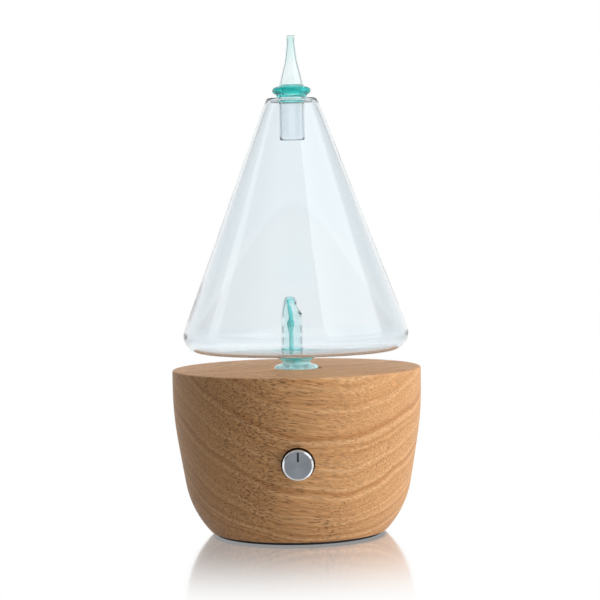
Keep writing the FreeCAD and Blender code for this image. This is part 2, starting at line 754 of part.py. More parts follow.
keep(cut(cylinder("board_radius", "board_thickness", ("0", "0", "board_height")),
         cylinder("board_hole_radius", "board_thickness", ("0", "0", "board_height")),
         *[cylinder("screw_radius", "board_thickness", (x, y, "board_height"))
           for x, y in circle_of(3, "standoff_circle", 30)]), "control_board")
BOARD_TOP = "board_height + board_thickness"
keep(group([cut(cylinder("standoff_radius", f"{CEILING} - ({BOARD_TOP})", (x, y, BOARD_TOP)),
                cylinder("screw_radius", f"{CEILING} - ({BOARD_TOP})", (x, y, BOARD_TOP)))
            for x, y in circle_of(3, "standoff_circle", 30)]), "board_standoffs")
keep(group([fuse(cylinder("board_screw_head_radius", "board_screw_head_height",
                          (x, y, "board_height - board_screw_head_height")),
                 cylinder("screw_radius - 0.05", f"{CEILING} - board_height + 8",
                          (x, y, "board_height - 1")))
            for x, y in circle_of(3, "standoff_circle", 30)]), "board_screws")
keep(box("timer_chip_length", "timer_chip_width", "timer_chip_height",
         ("14", "-12", "board_height - timer_chip_height")), "timer_chip")
keep(cylinder("capacitor_radius", "capacitor_length",
              ("16", "5", "board_height - capacitor_length")), "smoothing_capacitor")
keep(box("driver_length", "driver_width", "driver_height",
         ("0", "19", "board_height - driver_height")), "motor_driver")
CONNECTOR_PLACES = [("-17", "-10"), ("-12", "15")]
CONNECTOR_LOW = "board_height - connector_height"
keep(group([box("connector_length", "connector_width", "connector_height", (x, y, CONNECTOR_LOW))
            for x, y in CONNECTOR_PLACES]), "board_connectors")

# Power inlet ------------------------------------------------------------------------------


def in_jack(depth):
    """A place on the power inlet's axis, this far behind the housing's axis."""
    return ("0", depth, JACK)


keep(cut(fuse(cylinder("jack_radius", "jack_seat - jack_back", in_jack("jack_back"), TO_BACK),
              cylinder("jack_flange_radius", "jack_flange_thickness", in_jack("jack_seat"),
                       TO_BACK)),
         cylinder("jack_bore", "jack_seat", in_jack("jack_bore_floor"), TO_BACK),
         cylinder("jack_pin_radius - 0.18", "2", in_jack("jack_back"), TO_BACK)),
     "dc_jack_body")
keep(fuse(cylinder("jack_pin_radius", "jack_pin_tip - jack_bore_floor", in_jack("jack_bore_floor"),
                   TO_BACK),
          cylinder("jack_pin_radius - 0.2", "2", in_jack("jack_back"), TO_BACK)), "dc_jack_pin")
JACK_NUT_FRONT = "cavity_radius + 0.5 - jack_nut_thickness"
keep(cut(hexagon("jack_nut_width", "jack_nut_thickness", in_jack(JACK_NUT_FRONT), TO_BACK),
         cylinder("jack_radius + 0.02", "jack_nut_thickness", in_jack(JACK_NUT_FRONT), TO_BACK)),
     "dc_jack_nut")
keep(group([box("jack_terminal_width", "jack_terminal_length", "terminal_thickness",
                (f"{x}", "jack_back - jack_terminal_length / 2", JACK))
            for x in (-2.5, 2.5)]), "dc_jack_terminals")

# Leads between the inlet, the board, the motor and the potentiometer, along the cavity.
keep(group([tube([
    (f"{x}", "jack_back - 2", f"{JACK} + 0.6 + lead_radius"),
    (f"{x}", "jack_back - 2", "lead_level"),
    ("-12", f"{y}", "lead_level"),
    ("-12", f"{y}", CONNECTOR_LOW),
], "lead_radius", "lead_bend") for x, y in ((-3.2, 15.5), (1.8, 13))]), "power_leads")
keep(group([tube([
    (f"{MOTOR_END} + endcap_thickness", f"pump_depth + {y}", f"pump_height + {z}"),
    (f"{MOTOR_END} + endcap_thickness + 1.5", f"pump_depth + {y}", f"pump_height + {z}"),
    (f"{MOTOR_END} + endcap_thickness + 1.5", f"pump_depth + {y}", "board_height"),
], "lead_radius", "1.3") for y, z in ((-5, 5), (-2, 5))]), "motor_leads")
keep(group([tube([
    (f"{x}", f"2 - ({POT_BACK}) - 4", f"{KNOB} - pot_radius - 6.8"),
    (f"{x}", f"2 - ({POT_BACK}) - 4", f"{KNOB} - pot_radius - 10"),
    (f"-14 + {x} / 4", "-13", f"{KNOB} - pot_radius - 10"),
    (f"-14 + {x} / 4", "-13", CONNECTOR_LOW),
], "lead_radius", "1.5") for x in (-5, 0, 5)]), "potentiometer_leads")

# Glass ------------------------------------------------------------------------------------

# The reservoir is a cone with a rounded foot corner, a floor that sags to a waist, a foot
# flange and a stub. Its inside follows the outside at the wall's thickness.
CORNER = "(cone_top_radius + (cone_height - floor_height) * tan(cone_lean))"
REACH = "(corner_radius / tan((90 - cone_lean) / 2))"
BEND = f"({CORNER} - {REACH})"
INNER_BEND = "(corner_radius - glass_wall)"
SEAT_EDGE = "(mouth_radius - cap_stem_radius - 0.15) / seat_slope"
keep(turned([
    ("stub_tip_radius", "-stub_length"),
    ("stub_radius", "-glass_foot_drop"),
    ("glass_foot_radius", "-glass_foot_drop"),
    ("glass_foot_radius", "glass_foot_rise"),
    ("waist_radius", "waist_height - 1.2", "-foot_hollow_radius"),
    ("waist_radius", "waist_height"),
    ("sag_radius", "sag_height", "-waist_hollow_radius"),
    (BEND, "floor_height", "floor_sweep_radius"),
    (f"{CORNER} - {REACH} * sin(cone_lean)", f"floor_height + {REACH} * cos(cone_lean)",
     "corner_radius"),
    ("cone_top_radius", "cone_height - 0.5"),
    ("cone_top_radius - 0.5", "cone_height", "0.5"),
    ("cap_stem_radius + 0.15 + seat_slope * (cone_height - cap_stem_high)", "cone_height"),
    ("mouth_radius", f"cap_stem_high + {SEAT_EDGE}"),
    ("mouth_radius", "cone_height - glass_wall"),
    ("cone_top_radius + glass_wall * (tan(cone_lean) - 1 / cos(cone_lean))",
     "cone_height - glass_wall"),
    (f"{BEND} + {INNER_BEND} * cos(cone_lean)",
     f"floor_height + corner_radius + {INNER_BEND} * sin(cone_lean)"),
    (BEND, "floor_height + glass_wall", f"-{INNER_BEND}"),
    ("sag_radius", "sag_height + glass_wall", "-floor_sweep_radius"),
    ("sag_radius - 4", "well_height"),
    ("air_bore", "well_height"),
    ("air_bore", "waist_height - 1"),
    ("stub_bore", "waist_height - 1"),
    ("stub_bore", "-stub_length"),
], at=("0", "0", TOP)), "glass_reservoir")

keep(turned([
    ("cap_stem_radius - cap_wall", "cap_stem_low"),
    ("cap_stem_radius", "cap_stem_low"),
    ("cap_stem_radius", "cap_stem_high"),
    ("cap_seat_radius", "cap_seat_height"),
    ("cap_bead_radius", "cap_bead_height", "cap_bead_section + 0.3"),
    ("cap_bead_radius - 2.4", "cap_bead_height + cap_bead_section", "cap_bead_section + 0.7"),
    ("chimney_root_radius", "chimney_root_height", "-3"),
    ("chimney_hip_radius", "chimney_hip_height"),
    ("chimney_slope_radius", "chimney_slope_height"),
    ("chimney_neck_radius", "chimney_neck_height", "-chimney_hollow_radius"),
    ("cap_tip_radius", "cap_height"),
    ("cap_tip_radius - cap_wall + 0.1", "cap_height"),
    ("chimney_neck_radius - cap_wall", "chimney_neck_height"),
    ("chimney_slope_radius - cap_wall", "chimney_slope_height", "chimney_hollow_radius"),
    ("chimney_hip_radius - cap_wall", "chimney_hip_height"),
    ("cap_stem_radius - cap_wall", "chimney_root_height"),
], at=("0", "0", TOP)), "glass_cap")

# The nozzle stands in the reservoir's well, a little to the left of its axis.


def in_glass(x, height, y="0"):
    """A place in the reservoir, its height above the wood's top."""
    return (x, y, f"{TOP} + {height}")


def shroud_loft(low_radius, tip_radius, tip_height):
    """The shroud's leaning tip, from its shoulder to its apex."""
    low = primitive("Circle", in_glass("-nozzle_offset", "shroud_shoulder"), Radius=low_radius)
    tip = primitive("Circle", in_glass("-apex_offset", tip_height), Radius=tip_radius)
    loft = doc.addObject("Part::Loft", "loft")
    loft.Sections = [low, tip]
    loft.Solid = True
    return loft


shroud_tube = turned([
    ("shroud_radius - shroud_wall", "shroud_foot_height"),
    ("shroud_foot_radius", "shroud_foot_height"),
    ("shroud_radius", "shroud_foot_height + shroud_foot_length", "-shroud_hollow_radius"),
    ("shroud_radius", "shroud_shoulder"),
    ("shroud_radius - shroud_wall", "shroud_shoulder"),
], at=in_glass("-nozzle_offset", "0"))
mouth = cylinder("shroud_mouth_radius", "shroud_radius * 3",
                 in_glass("-nozzle_offset", "shroud_mouth_height"),
                 (Vector(0, 1, 0), value("shroud_mouth_tilt")))
keep(cut(fuse(shroud_tube, shroud_loft("shroud_radius", "shroud_tip_radius", "shroud_height")),
         shroud_loft("shroud_radius - shroud_wall", "shroud_tip_radius - 0.7",
                     "shroud_height - shroud_wall"),
         mouth), "mist_shroud")
JET_KNEE = "jet_bulb_height + 3.75"
keep(fuse(
    tube([
        in_glass("0", "waist_height - 0.5"),
        in_glass("0", "well_height + 1.4"),
        in_glass("-nozzle_offset", "well_height + 5.4"),
        in_glass("-nozzle_offset", JET_KNEE),
        in_glass("0.4 - apex_offset", "shroud_height - 3.4"),
    ], "jet_radius", "3", "jet_bore"),
    cut(primitive("Ellipsoid", in_glass("-nozzle_offset", "jet_bulb_height"),
                  Radius1="jet_bulb_length / 2", Radius2="jet_bulb_radius",
                  Radius3="jet_bulb_radius"),
        cylinder("jet_bore", "20", in_glass("-nozzle_offset", "jet_bulb_height - 10")))),
    "jet_tube")
keep(tube([
    in_glass("-nozzle_offset", "well_height + 0.1", "2.4"),
    in_glass("-nozzle_offset", "shroud_shoulder - 2", "2.4"),
    in_glass("-nozzle_offset - 0.85", "shroud_shoulder + 2", "1.6"),
], "riser_radius", "3", "riser_bore"), "oil_riser")

# Check and export -------------------------------------------------------------------------

doc.recompute()
failed = [item.Label for item in doc.Objects if {"Invalid", "Error"} & set(item.State)]
if failed:
    raise SystemExit("failed objects: " + ", ".join(failed))
for node in nodes:
    if node.Shape.isNull() or not node.Shape.isValid() or node.Shape.Volume <= 0:
        raise SystemExit("bad shape: " + node.Label)

os.makedirs("parts", exist_ok=True)
for node in nodes:
    node.Shape.exportStep(f"parts/{node.Label}.step")
    print(f"{node.Label}: {len(node.Shape.Solids)} solids, {node.Shape.Volume:.1f} mm3")
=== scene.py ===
import math

import bmesh
import bpy
from mathutils import Matrix, Vector


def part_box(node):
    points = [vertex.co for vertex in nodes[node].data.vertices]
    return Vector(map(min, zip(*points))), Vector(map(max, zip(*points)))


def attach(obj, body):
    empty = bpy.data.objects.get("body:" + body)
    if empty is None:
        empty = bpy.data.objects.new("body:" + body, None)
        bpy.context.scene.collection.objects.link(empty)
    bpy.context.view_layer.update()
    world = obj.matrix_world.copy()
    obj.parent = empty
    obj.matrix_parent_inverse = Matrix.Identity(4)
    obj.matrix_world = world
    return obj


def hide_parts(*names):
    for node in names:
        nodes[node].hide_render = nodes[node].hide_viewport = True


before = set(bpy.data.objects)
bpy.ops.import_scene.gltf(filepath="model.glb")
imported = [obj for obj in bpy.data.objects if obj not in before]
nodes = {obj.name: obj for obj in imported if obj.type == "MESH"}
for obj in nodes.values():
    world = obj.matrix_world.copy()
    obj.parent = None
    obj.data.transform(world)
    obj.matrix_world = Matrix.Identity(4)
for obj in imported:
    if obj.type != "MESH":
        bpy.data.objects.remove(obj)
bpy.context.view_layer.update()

# Camera ------------------------------------------------------------------------------------
# A long lens about a metre away, above the rim of the wood, tipped down a little and rolled
# so that the diffuser leans slightly to the left.
scene = bpy.context.scene
MM = 0.001
CAMERA_PLACE = (2.1 * MM, -923 * MM, 148.2 * MM)
CAMERA_TIP = math.radians(2.8)
CAMERA_ROLL = math.radians(1.05)
camera_data = bpy.data.cameras.new("studio_camera")
camera_data.sensor_width = 36
camera_data.lens = 125.3
camera = bpy.data.objects.new("studio_camera", camera_data)
scene.collection.objects.link(camera)
camera_turn = Matrix.Rotation(math.pi / 2 - CAMERA_TIP, 4, "X") @ Matrix.Rotation(-CAMERA_ROLL, 4, "Z")
camera.matrix_world = Matrix.Translation(CAMERA_PLACE) @ camera_turn
scene.camera = camera

# Studio ------------------------------------------------------------------------------------
# A white sweep with dark wings: what shines through the glass is white from the back and dark
# from the sides, which draws its edges. The room before it is dim, a large soft box on the
# right shows as a pale panel on the cone, and a key light beside it leaves the left side dark.
scene.view_settings.view_transform = "Standard"


def fill_ramp(ramp, stops):
    """Set a colour ramp's stops, from (position, colour) pairs."""
    ramp.elements[0].position = stops[0][0]
    ramp.elements[0].color = (*stops[0][1], 1)
    ramp.elements[1].position = stops[-1][0]
    ramp.elements[1].color = (*stops[-1][1], 1)
    for position, tone in stops[1:-1]:
        ramp.elements.new(position).color = (*tone, 1)


def set_out(node_frame, row, *members):
    """Lay nodes side by side in their frame."""
    for column, node in enumerate(members):
        node.location = (220 * column, row)
        node.parent = node_frame


studio = bpy.data.worlds.new("studio")
studio.use_nodes = True
studio_tree = studio.node_tree
studio_tree.nodes.clear()
wall_direction = studio_tree.nodes.new("ShaderNodeTexCoord")
wall_direction.label = "Direction of the studio wall"
wall_axes = studio_tree.nodes.new("ShaderNodeSeparateXYZ")
wall_axes.label = "Left to right"
wall_side = studio_tree.nodes.new("ShaderNodeMath")
wall_side.operation = "ABSOLUTE"
wall_side.label = "Both wings alike"
wing_ramp = studio_tree.nodes.new("ShaderNodeValToRGB")
wing_ramp.label = "White middle, grey wings"
fill_ramp(wing_ramp.color_ramp, ((0.42, (0.97, 0.99, 1)), (0.8, (0.22, 0.24, 0.25))))
room_depth = studio_tree.nodes.new("ShaderNodeMapRange")
room_depth.label = "The room in front is dim"
room_depth.inputs["From Min"].default_value = -0.3
room_depth.inputs["From Max"].default_value = 0.35
room_depth.inputs["To Min"].default_value = 0.33
horizon = studio_tree.nodes.new("ShaderNodeMapRange")
horizon.label = "A white strip along the horizon"
horizon.inputs["From Min"].default_value = 0.3
horizon.inputs["From Max"].default_value = 0.16
mirror_strip = studio_tree.nodes.new("ShaderNodeMath")
mirror_strip.operation = "MULTIPLY"
mirror_strip.label = "Strip shows in reflections only"
strip_colour = studio_tree.nodes.new("ShaderNodeMix")
strip_colour.data_type = "RGBA"
strip_colour.label = "Strip is white all round"
strip_colour.inputs["B"].default_value = (1, 1, 1, 1)
room_light = studio_tree.nodes.new("ShaderNodeMath")
room_light.operation = "MAXIMUM"
room_light.label = "Room or strip"
dim_room = studio_tree.nodes.new("ShaderNodeVectorMath")
dim_room.operation = "SCALE"
dim_room.label = "Dim for reflections and fill"
through_glass = studio_tree.nodes.new("ShaderNodeMix")
through_glass.data_type = "RGBA"
through_glass.label = "Bright through the glass"
seen_directly = studio_tree.nodes.new("ShaderNodeLightPath")
seen_directly.label = "Seen past the object"
backdrop = studio_tree.nodes.new("ShaderNodeMix")
backdrop.data_type = "RGBA"
backdrop.label = "Plain white backdrop"
backdrop.inputs["B"].default_value = (1, 1, 1, 1)
studio_glow = studio_tree.nodes.new("ShaderNodeBackground")
studio_glow.label = "Studio glow"
studio_out = studio_tree.nodes.new("ShaderNodeOutputWorld")
studio_out.label = "Studio walls"
wing_frame = studio_tree.nodes.new("NodeFrame")
wing_frame.label = "White middle, dark wings"
set_out(wing_frame, 0, wall_direction, wall_axes, wall_side, wing_ramp)
room_frame = studio_tree.nodes.new("NodeFrame")
room_frame.label = "Dim room with a strip along the horizon"
set_out(room_frame, -300, room_depth, horizon, mirror_strip, strip_colour, room_light, dim_room)
sight_frame = studio_tree.nodes.new("NodeFrame")
sight_frame.label = "What each kind of ray sees"
set_out(sight_frame, -600, seen_directly, through_glass, backdrop, studio_glow, studio_out)
studio_tree.links.new(wall_direction.outputs["Generated"], wall_axes.inputs["Vector"])
studio_tree.links.new(wall_axes.outputs["X"], wall_side.inputs[0])
studio_tree.links.new(wall_side.outputs["Value"], wing_ramp.inputs["Fac"])
studio_tree.links.new(seen_directly.outputs["Is Camera Ray"], backdrop.inputs["Factor"])
studio_tree.links.new(wall_axes.outputs["Y"], room_depth.inputs["Value"])
studio_tree.links.new(strip_colour.outputs["Result"], dim_room.inputs[0])
studio_tree.links.new(wall_axes.outputs["Z"], horizon.inputs["Value"])
studio_tree.links.new(horizon.outputs["Result"], mirror_strip.inputs[0])
studio_tree.links.new(seen_directly.outputs["Is Glossy Ray"], mirror_strip.inputs[1])
studio_tree.links.new(mirror_strip.outputs["Value"], strip_colour.inputs["Factor"])
studio_tree.links.new(wing_ramp.outputs["Color"], strip_colour.inputs["A"])
studio_tree.links.new(room_depth.outputs["Result"], room_light.inputs[0])
studio_tree.links.new(mirror_strip.outputs["Value"], room_light.inputs[1])
studio_tree.links.new(room_light.outputs["Value"], dim_room.inputs["Scale"])
studio_tree.links.new(seen_directly.outputs["Is Transmission Ray"], through_glass.inputs["Factor"])
studio_tree.links.new(dim_room.outputs["Vector"], through_glass.inputs["A"])
studio_tree.links.new(wing_ramp.outputs["Color"], through_glass.inputs["B"])
studio_tree.links.new(through_glass.outputs["Result"], backdrop.inputs["A"])
studio_tree.links.new(backdrop.outputs["Result"], studio_glow.inputs["Color"])
studio_tree.links.new(studio_glow.outputs["Background"], studio_out.inputs["Surface"])
scene.world = studio


def soft_box(name, azimuth, elevation, distance, width, height, brightness, colour, mirrored=True):
    """An area light that faces the diffuser, its azimuth counted from the front to the right."""
    light = bpy.data.lights.new(name, "AREA")
    light.shape = "RECTANGLE"
    light.size = width
    light.size_y = height
    light.energy = brightness * math.pi * width * height
    light.color = colour
    lamp = bpy.data.objects.new(name, light)
    turn, rise = math.radians(azimuth), math.radians(elevation)
    offset = Vector((math.sin(turn) * math.cos(rise), -math.cos(turn) * math.cos(rise), math.sin(rise)))
    lamp.location = Vector((0, 0, 0.13)) + distance * offset
    lamp.rotation_euler = (-offset).to_track_quat("-Z", "Y").to_euler()
    lamp.visible_glossy = mirrored
    lamp.visible_transmission = mirrored
    scene.collection.objects.link(lamp)


soft_box("right_box", 70, 34, 1.1, 1.35, 0.7, 1.25, (0.97, 0.99, 1))
soft_box("right_key", 70, 14, 1.1, 0.45, 0.5, 13.2, (0.955, 1, 1.1), False)
soft_box("table_bounce", 40, -25, 1.1, 0.7, 0.5, 3.6, (1, 1, 0.99), False)
soft_box("left_strip", -97, 27, 1.1, 0.25, 0.8, 0.8, (0.94, 0.97, 1))
soft_box("top_box", 180, 80, 1.2, 0.9, 0.9, 0.3, (1, 1, 1), False)

# The table is a glossy sheet as white as the backdrop; its mirror image fades with distance. It
# casts no shadow, because table_bounce stands below it for the light that the sheet throws up.
floor_mesh = bpy.data.meshes.new("studio_floor")
floor_shape = bmesh.new()
bmesh.ops.create_circle(floor_shape, cap_ends=True, segments=128, radius=12)
floor_shape.to_mesh(floor_mesh)
floor_shape.free()
floor = bpy.data.objects.new("studio_floor", floor_mesh)
scene.collection.objects.link(floor)
floor.visible_shadow = False
white_table = bpy.data.materials.new("white_table")
white_table.use_nodes = True
table_tree = white_table.node_tree
table_tree.nodes.clear()
table_place = table_tree.nodes.new("ShaderNodeTexCoord")
table_place.label = "Place on the table"
table_reach = table_tree.nodes.new("ShaderNodeVectorMath")
table_reach.operation = "LENGTH"
table_reach.label = "Distance from the object"
table_fade = table_tree.nodes.new("ShaderNodeMapRange")
table_fade.interpolation_type = "SMOOTHSTEP"
table_fade.label = "Mirror image near the object only"
table_fade.inputs["From Min"].default_value = 0.045
table_fade.inputs["From Max"].default_value = 0.18
table_fade.inputs["To Min"].default_value = 0.72
table_fade.inputs["To Max"].default_value = 0
table_gloss = table_tree.nodes.new("ShaderNodeBsdfGlossy")
table_gloss.label = "Glossy sheet"
table_gloss.inputs["Color"].default_value = (1, 1, 1, 1)
table_gloss.inputs["Roughness"].default_value = 0.1
table_glow = table_tree.nodes.new("ShaderNodeEmission")
table_glow.label = "As white as the backdrop"
table_lights = table_tree.nodes.new("ShaderNodeLightPath")
table_lights.label = "What the table shines on"
table_strength = table_tree.nodes.new("ShaderNodeMapRange")
table_strength.label = "Dim where it would light the object"
table_strength.inputs["To Min"].default_value = 1
table_strength.inputs["To Max"].default_value = 0.26
table_mix = table_tree.nodes.new("ShaderNodeMixShader")
table_mix.label = "Mirror image over white"
table_out = table_tree.nodes.new("ShaderNodeOutputMaterial")
table_out.label = "Table top"
mirror_frame = table_tree.nodes.new("NodeFrame")
mirror_frame.label = "Fading mirror image"
set_out(mirror_frame, 0, table_place, table_reach, table_fade, table_gloss)
glow_frame = table_tree.nodes.new("NodeFrame")
glow_frame.label = "White glow"
set_out(glow_frame, -300, table_lights, table_strength, table_glow, table_mix, table_out)
table_tree.links.new(table_lights.outputs["Is Diffuse Ray"], table_strength.inputs["Value"])
table_tree.links.new(table_strength.outputs["Result"], table_glow.inputs["Strength"])
table_tree.links.new(table_place.outputs["Object"], table_reach.inputs[0])
table_tree.links.new(table_reach.outputs["Value"], table_fade.inputs["Value"])
table_tree.links.new(table_fade.outputs["Result"], table_mix.inputs["Fac"])
table_tree.links.new(table_glow.outputs["Emission"], table_mix.inputs[1])
table_tree.links.new(table_gloss.outputs["BSDF"], table_mix.inputs[2])
table_tree.links.new(table_mix.outputs["Shader"], table_out.inputs["Surface"])
floor_mesh.materials.append(white_table)

# Wooden housing -----------------------------------------------------------------------------
# One block of pale brown wood, turned on a lathe: a rounded belly, a straight side that leans
# outwards and an upright rim, bored from below, oiled and left satin. The growth rings run
# through the whole block, so they rise as arches on its round side.
wood_low, wood_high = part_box("wood_housing")
UNDERSIDE = wood_low.z
WOOD_TOP = wood_high.z
WOOD_RADIUS = 55 * MM
KNOB_CENTRE = (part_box("knob_shell")[0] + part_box("knob_shell")[1]) / 2
JACK_CENTRE = (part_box("dc_jack_body")[0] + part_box("dc_jack_body")[1]) / 2


def arc(centre, radius, start, end, steps):
    """Points along an arc of a profile, in degrees, both ends included."""
    angles = [math.radians(start + (end - start) * step / steps) for step in range(steps + 1)]
    return [(centre[0] + radius * math.cos(a), centre[1] + radius * math.sin(a)) for a in angles]


def turned(name, profile, steps, levels, closed=True):
    """A turned piece: its profile of (radius, height), run down the outside, swept by a Screw."""
    mesh = bpy.data.meshes.new(name)
    edges = [(i, i + 1) for i in range(len(profile) - 1)]
    if closed:
        edges.append((len(profile) - 1, 0))
    mesh.from_pydata([(r, 0, h) for r, h in profile], edges, [])
    piece = bpy.data.objects.new(name, mesh)
    scene.collection.objects.link(piece)
    screw = piece.modifiers.new("turning", "SCREW")
    screw.axis = "Z"
    screw.steps = steps
    screw.render_steps = steps
    screw.use_merge_vertices = True
    screw.merge_threshold = 0.00001
    screw.use_smooth_shade = True
    if levels:
        rounding = piece.modifiers.new("rounding", "SUBSURF")
        rounding.levels = levels
        rounding.render_levels = levels
    return piece


def make_mesh(piece):
    """Apply a piece's modifiers."""
    bpy.context.view_layer.update()
    evaluated = piece.evaluated_get(bpy.context.evaluated_depsgraph_get())
    finished = bpy.data.meshes.new_from_object(evaluated)
    finished.name = piece.name
    piece.modifiers.clear()
    piece.data = finished


def drill(piece, place, direction, radius, depth):
    """Cut a round hole into a piece, from a place along a direction."""
    bit_shape = bmesh.new()
    bmesh.ops.create_cone(bit_shape, cap_ends=True, segments=96, radius1=radius, radius2=radius,
                          depth=depth)
    turn = Vector((0, 0, 1)).rotation_difference(Vector(direction)).to_matrix().to_4x4()
    middle = Vector(place) + Vector(direction).normalized() * depth / 2
    bmesh.ops.transform(bit_shape, matrix=Matrix.Translation(middle) @ turn, verts=bit_shape.verts)
    bit_mesh = bpy.data.meshes.new("drill_bit")
    bit_shape.to_mesh(bit_mesh)
    bit_shape.free()
    bit = bpy.data.objects.new("drill_bit", bit_mesh)
    scene.collection.objects.link(bit)
    hole = piece.modifiers.new("hole", "BOOLEAN")
    hole.object = bit
    hole.operation = "DIFFERENCE"
    hole.solver = "EXACT"
    make_mesh(piece)
    bpy.data.objects.remove(bit)
    bpy.data.meshes.remove(bit_mesh)


LEAN = math.radians(9.5)
FLARE = 142 * MM
BELLY = 42 * MM
STRAIGHT = 18.8 * MM
flare_centre = (WOOD_RADIUS - FLARE, UNDERSIDE + 64 * MM)
flare_end = (flare_centre[0] + FLARE * math.cos(LEAN), flare_centre[1] - FLARE * math.sin(LEAN))
belly_start = (flare_end[0] - STRAIGHT * math.sin(LEAN), flare_end[1] - STRAIGHT * math.cos(LEAN))
belly_centre = (belly_start[0] - BELLY * math.cos(LEAN), belly_start[1] + BELLY * math.sin(LEAN))
belly_end = -math.degrees(math.asin((belly_centre[1] - UNDERSIDE) / BELLY))
RIM_EDGE = 0.35 * MM
RECESS_RADIUS = 10.8 * MM
RECESS_DEPTH = 3 * MM
SOCKET_BORE = 7.5 * MM
CEILING = UNDERSIDE + 58 * MM
CAVITY = 31 * MM
PLATE_SEAT = 37.1 * MM
PLATE_LEVEL = UNDERSIDE + 3 * MM
wood_profile = [
    (SOCKET_BORE, WOOD_TOP - RECESS_DEPTH),
    (RECESS_RADIUS - RIM_EDGE, WOOD_TOP - RECESS_DEPTH),
    (RECESS_RADIUS, WOOD_TOP - RECESS_DEPTH + RIM_EDGE),
    (RECESS_RADIUS, WOOD_TOP - RIM_EDGE),
    (RECESS_RADIUS + RIM_EDGE, WOOD_TOP),
    (RECESS_RADIUS + 3 * RIM_EDGE, WOOD_TOP),
    (30 * MM, WOOD_TOP),
    (WOOD_RADIUS - 4 * RIM_EDGE, WOOD_TOP),
    (WOOD_RADIUS - RIM_EDGE, WOOD_TOP),
    (WOOD_RADIUS, WOOD_TOP - RIM_EDGE),
    (WOOD_RADIUS, WOOD_TOP - 4 * RIM_EDGE),
]
wood_profile += arc(flare_centre, FLARE, 0, -math.degrees(LEAN), 4)
wood_profile += arc(belly_centre, BELLY, -math.degrees(LEAN), belly_end, 8)
wood_profile += [
    (belly_centre[0] + BELLY * math.cos(math.radians(belly_end)) - 0.4 * MM, UNDERSIDE),
    (PLATE_SEAT, UNDERSIDE),
    (PLATE_SEAT, PLATE_LEVEL),
    (CAVITY, PLATE_LEVEL),
    (CAVITY, PLATE_LEVEL + 1 * MM),
    (CAVITY, CEILING - 1 * MM),
    (CAVITY, CEILING),
    (SOCKET_BORE, CEILING),
]
wood = turned("turned_wood", wood_profile, 180, 1)
make_mesh(wood)
KNOB_HOLE = 7.2 * MM
INLET_HOLE = 4.1 * MM
INLET_POCKET = 6.2 * MM
drill(wood, (0, 6 * MM - CAVITY, KNOB_CENTRE.z), (0, -1, 0), KNOB_HOLE, 60 * MM)
drill(wood, (0, 28 * MM, JACK_CENTRE.z), (0, 1, 0), INLET_HOLE, 40 * MM)
drill(wood, (0, 38 * MM, JACK_CENTRE.z), (0, 1, 0), INLET_POCKET, 40 * MM)
wood.data.set_sharp_from_angle(angle=math.radians(40))

oiled_wood = bpy.data.materials.new("oiled_wood")
oiled_wood.use_nodes = True
wood_tree = oiled_wood.node_tree
wood_tree.nodes.clear()
wood_links = wood_tree.links

grain_frame = wood_tree.nodes.new("NodeFrame")
grain_frame.label = "Growth rings through the block"
wood_place = wood_tree.nodes.new("ShaderNodeTexCoord")
wood_place.label = "Place in the block"
grain_turn = wood_tree.nodes.new("ShaderNodeMapping")
grain_turn.label = "X along the trunk, Z towards the bark"
grain_turn.inputs["Location"].default_value = (0, 0, 0.16)
grain_turn.inputs["Rotation"].default_value = (math.radians(-27), math.radians(-10), 0)
wander = wood_tree.nodes.new("ShaderNodeTexNoise")
wander.label = "Slow wander of the rings"
wander.inputs["Scale"].default_value = 17
wander.inputs["Detail"].default_value = 2
trunk_axes = wood_tree.nodes.new("ShaderNodeSeparateXYZ")
trunk_axes.label = "Across the trunk"
trunk_plane = wood_tree.nodes.new("ShaderNodeCombineXYZ")
trunk_plane.label = "Drop the trunk's length"
pith_distance = wood_tree.nodes.new("ShaderNodeVectorMath")
pith_distance.operation = "LENGTH"
pith_distance.label = "Distance from the pith"
ring_place = wood_tree.nodes.new("ShaderNodeMath")
ring_place.operation = "MULTIPLY_ADD"
ring_place.label = "Rings wander by some millimetres"
ring_place.inputs[1].default_value = 0.016
ring_lines = wood_tree.nodes.new("ShaderNodeTexNoise")
ring_lines.noise_dimensions = "1D"
ring_lines.label = "Single rings, of uneven width"
ring_lines.inputs["Scale"].default_value = 420
ring_lines.inputs["Detail"].default_value = 1.5
ring_bands = wood_tree.nodes.new("ShaderNodeTexNoise")
ring_bands.noise_dimensions = "1D"
ring_bands.label = "Broad bands of good and poor years"
ring_bands.inputs["Scale"].default_value = 95
ring_bands.inputs["Detail"].default_value = 1
ring_tone = wood_tree.nodes.new("ShaderNodeMix")
ring_tone.label = "Rings over bands"
ring_tone.inputs["Factor"].default_value = 0.28
set_out(grain_frame, 0, wood_place, grain_turn, wander, trunk_axes, trunk_plane, pith_distance,
        ring_place, ring_lines, ring_bands, ring_tone)
wood_links.new(wood_place.outputs["Object"], grain_turn.inputs["Vector"])
wood_links.new(grain_turn.outputs["Vector"], trunk_axes.inputs["Vector"])
wood_links.new(trunk_axes.outputs["Y"], trunk_plane.inputs["Y"])
wood_links.new(trunk_axes.outputs["Z"], trunk_plane.inputs["Z"])
wood_links.new(trunk_plane.outputs["Vector"], pith_distance.inputs[0])
wood_links.new(grain_turn.outputs["Vector"], wander.inputs["Vector"])
wood_links.new(wander.outputs["Fac"], ring_place.inputs[0])
wood_links.new(pith_distance.outputs["Value"], ring_place.inputs[2])
wood_links.new(ring_place.outputs["Value"], ring_lines.inputs["W"])
wood_links.new(ring_place.outputs["Value"], ring_bands.inputs["W"])
wood_links.new(ring_lines.outputs["Fac"], ring_tone.inputs["A"])
wood_links.new(ring_bands.outputs["Fac"], ring_tone.inputs["B"])

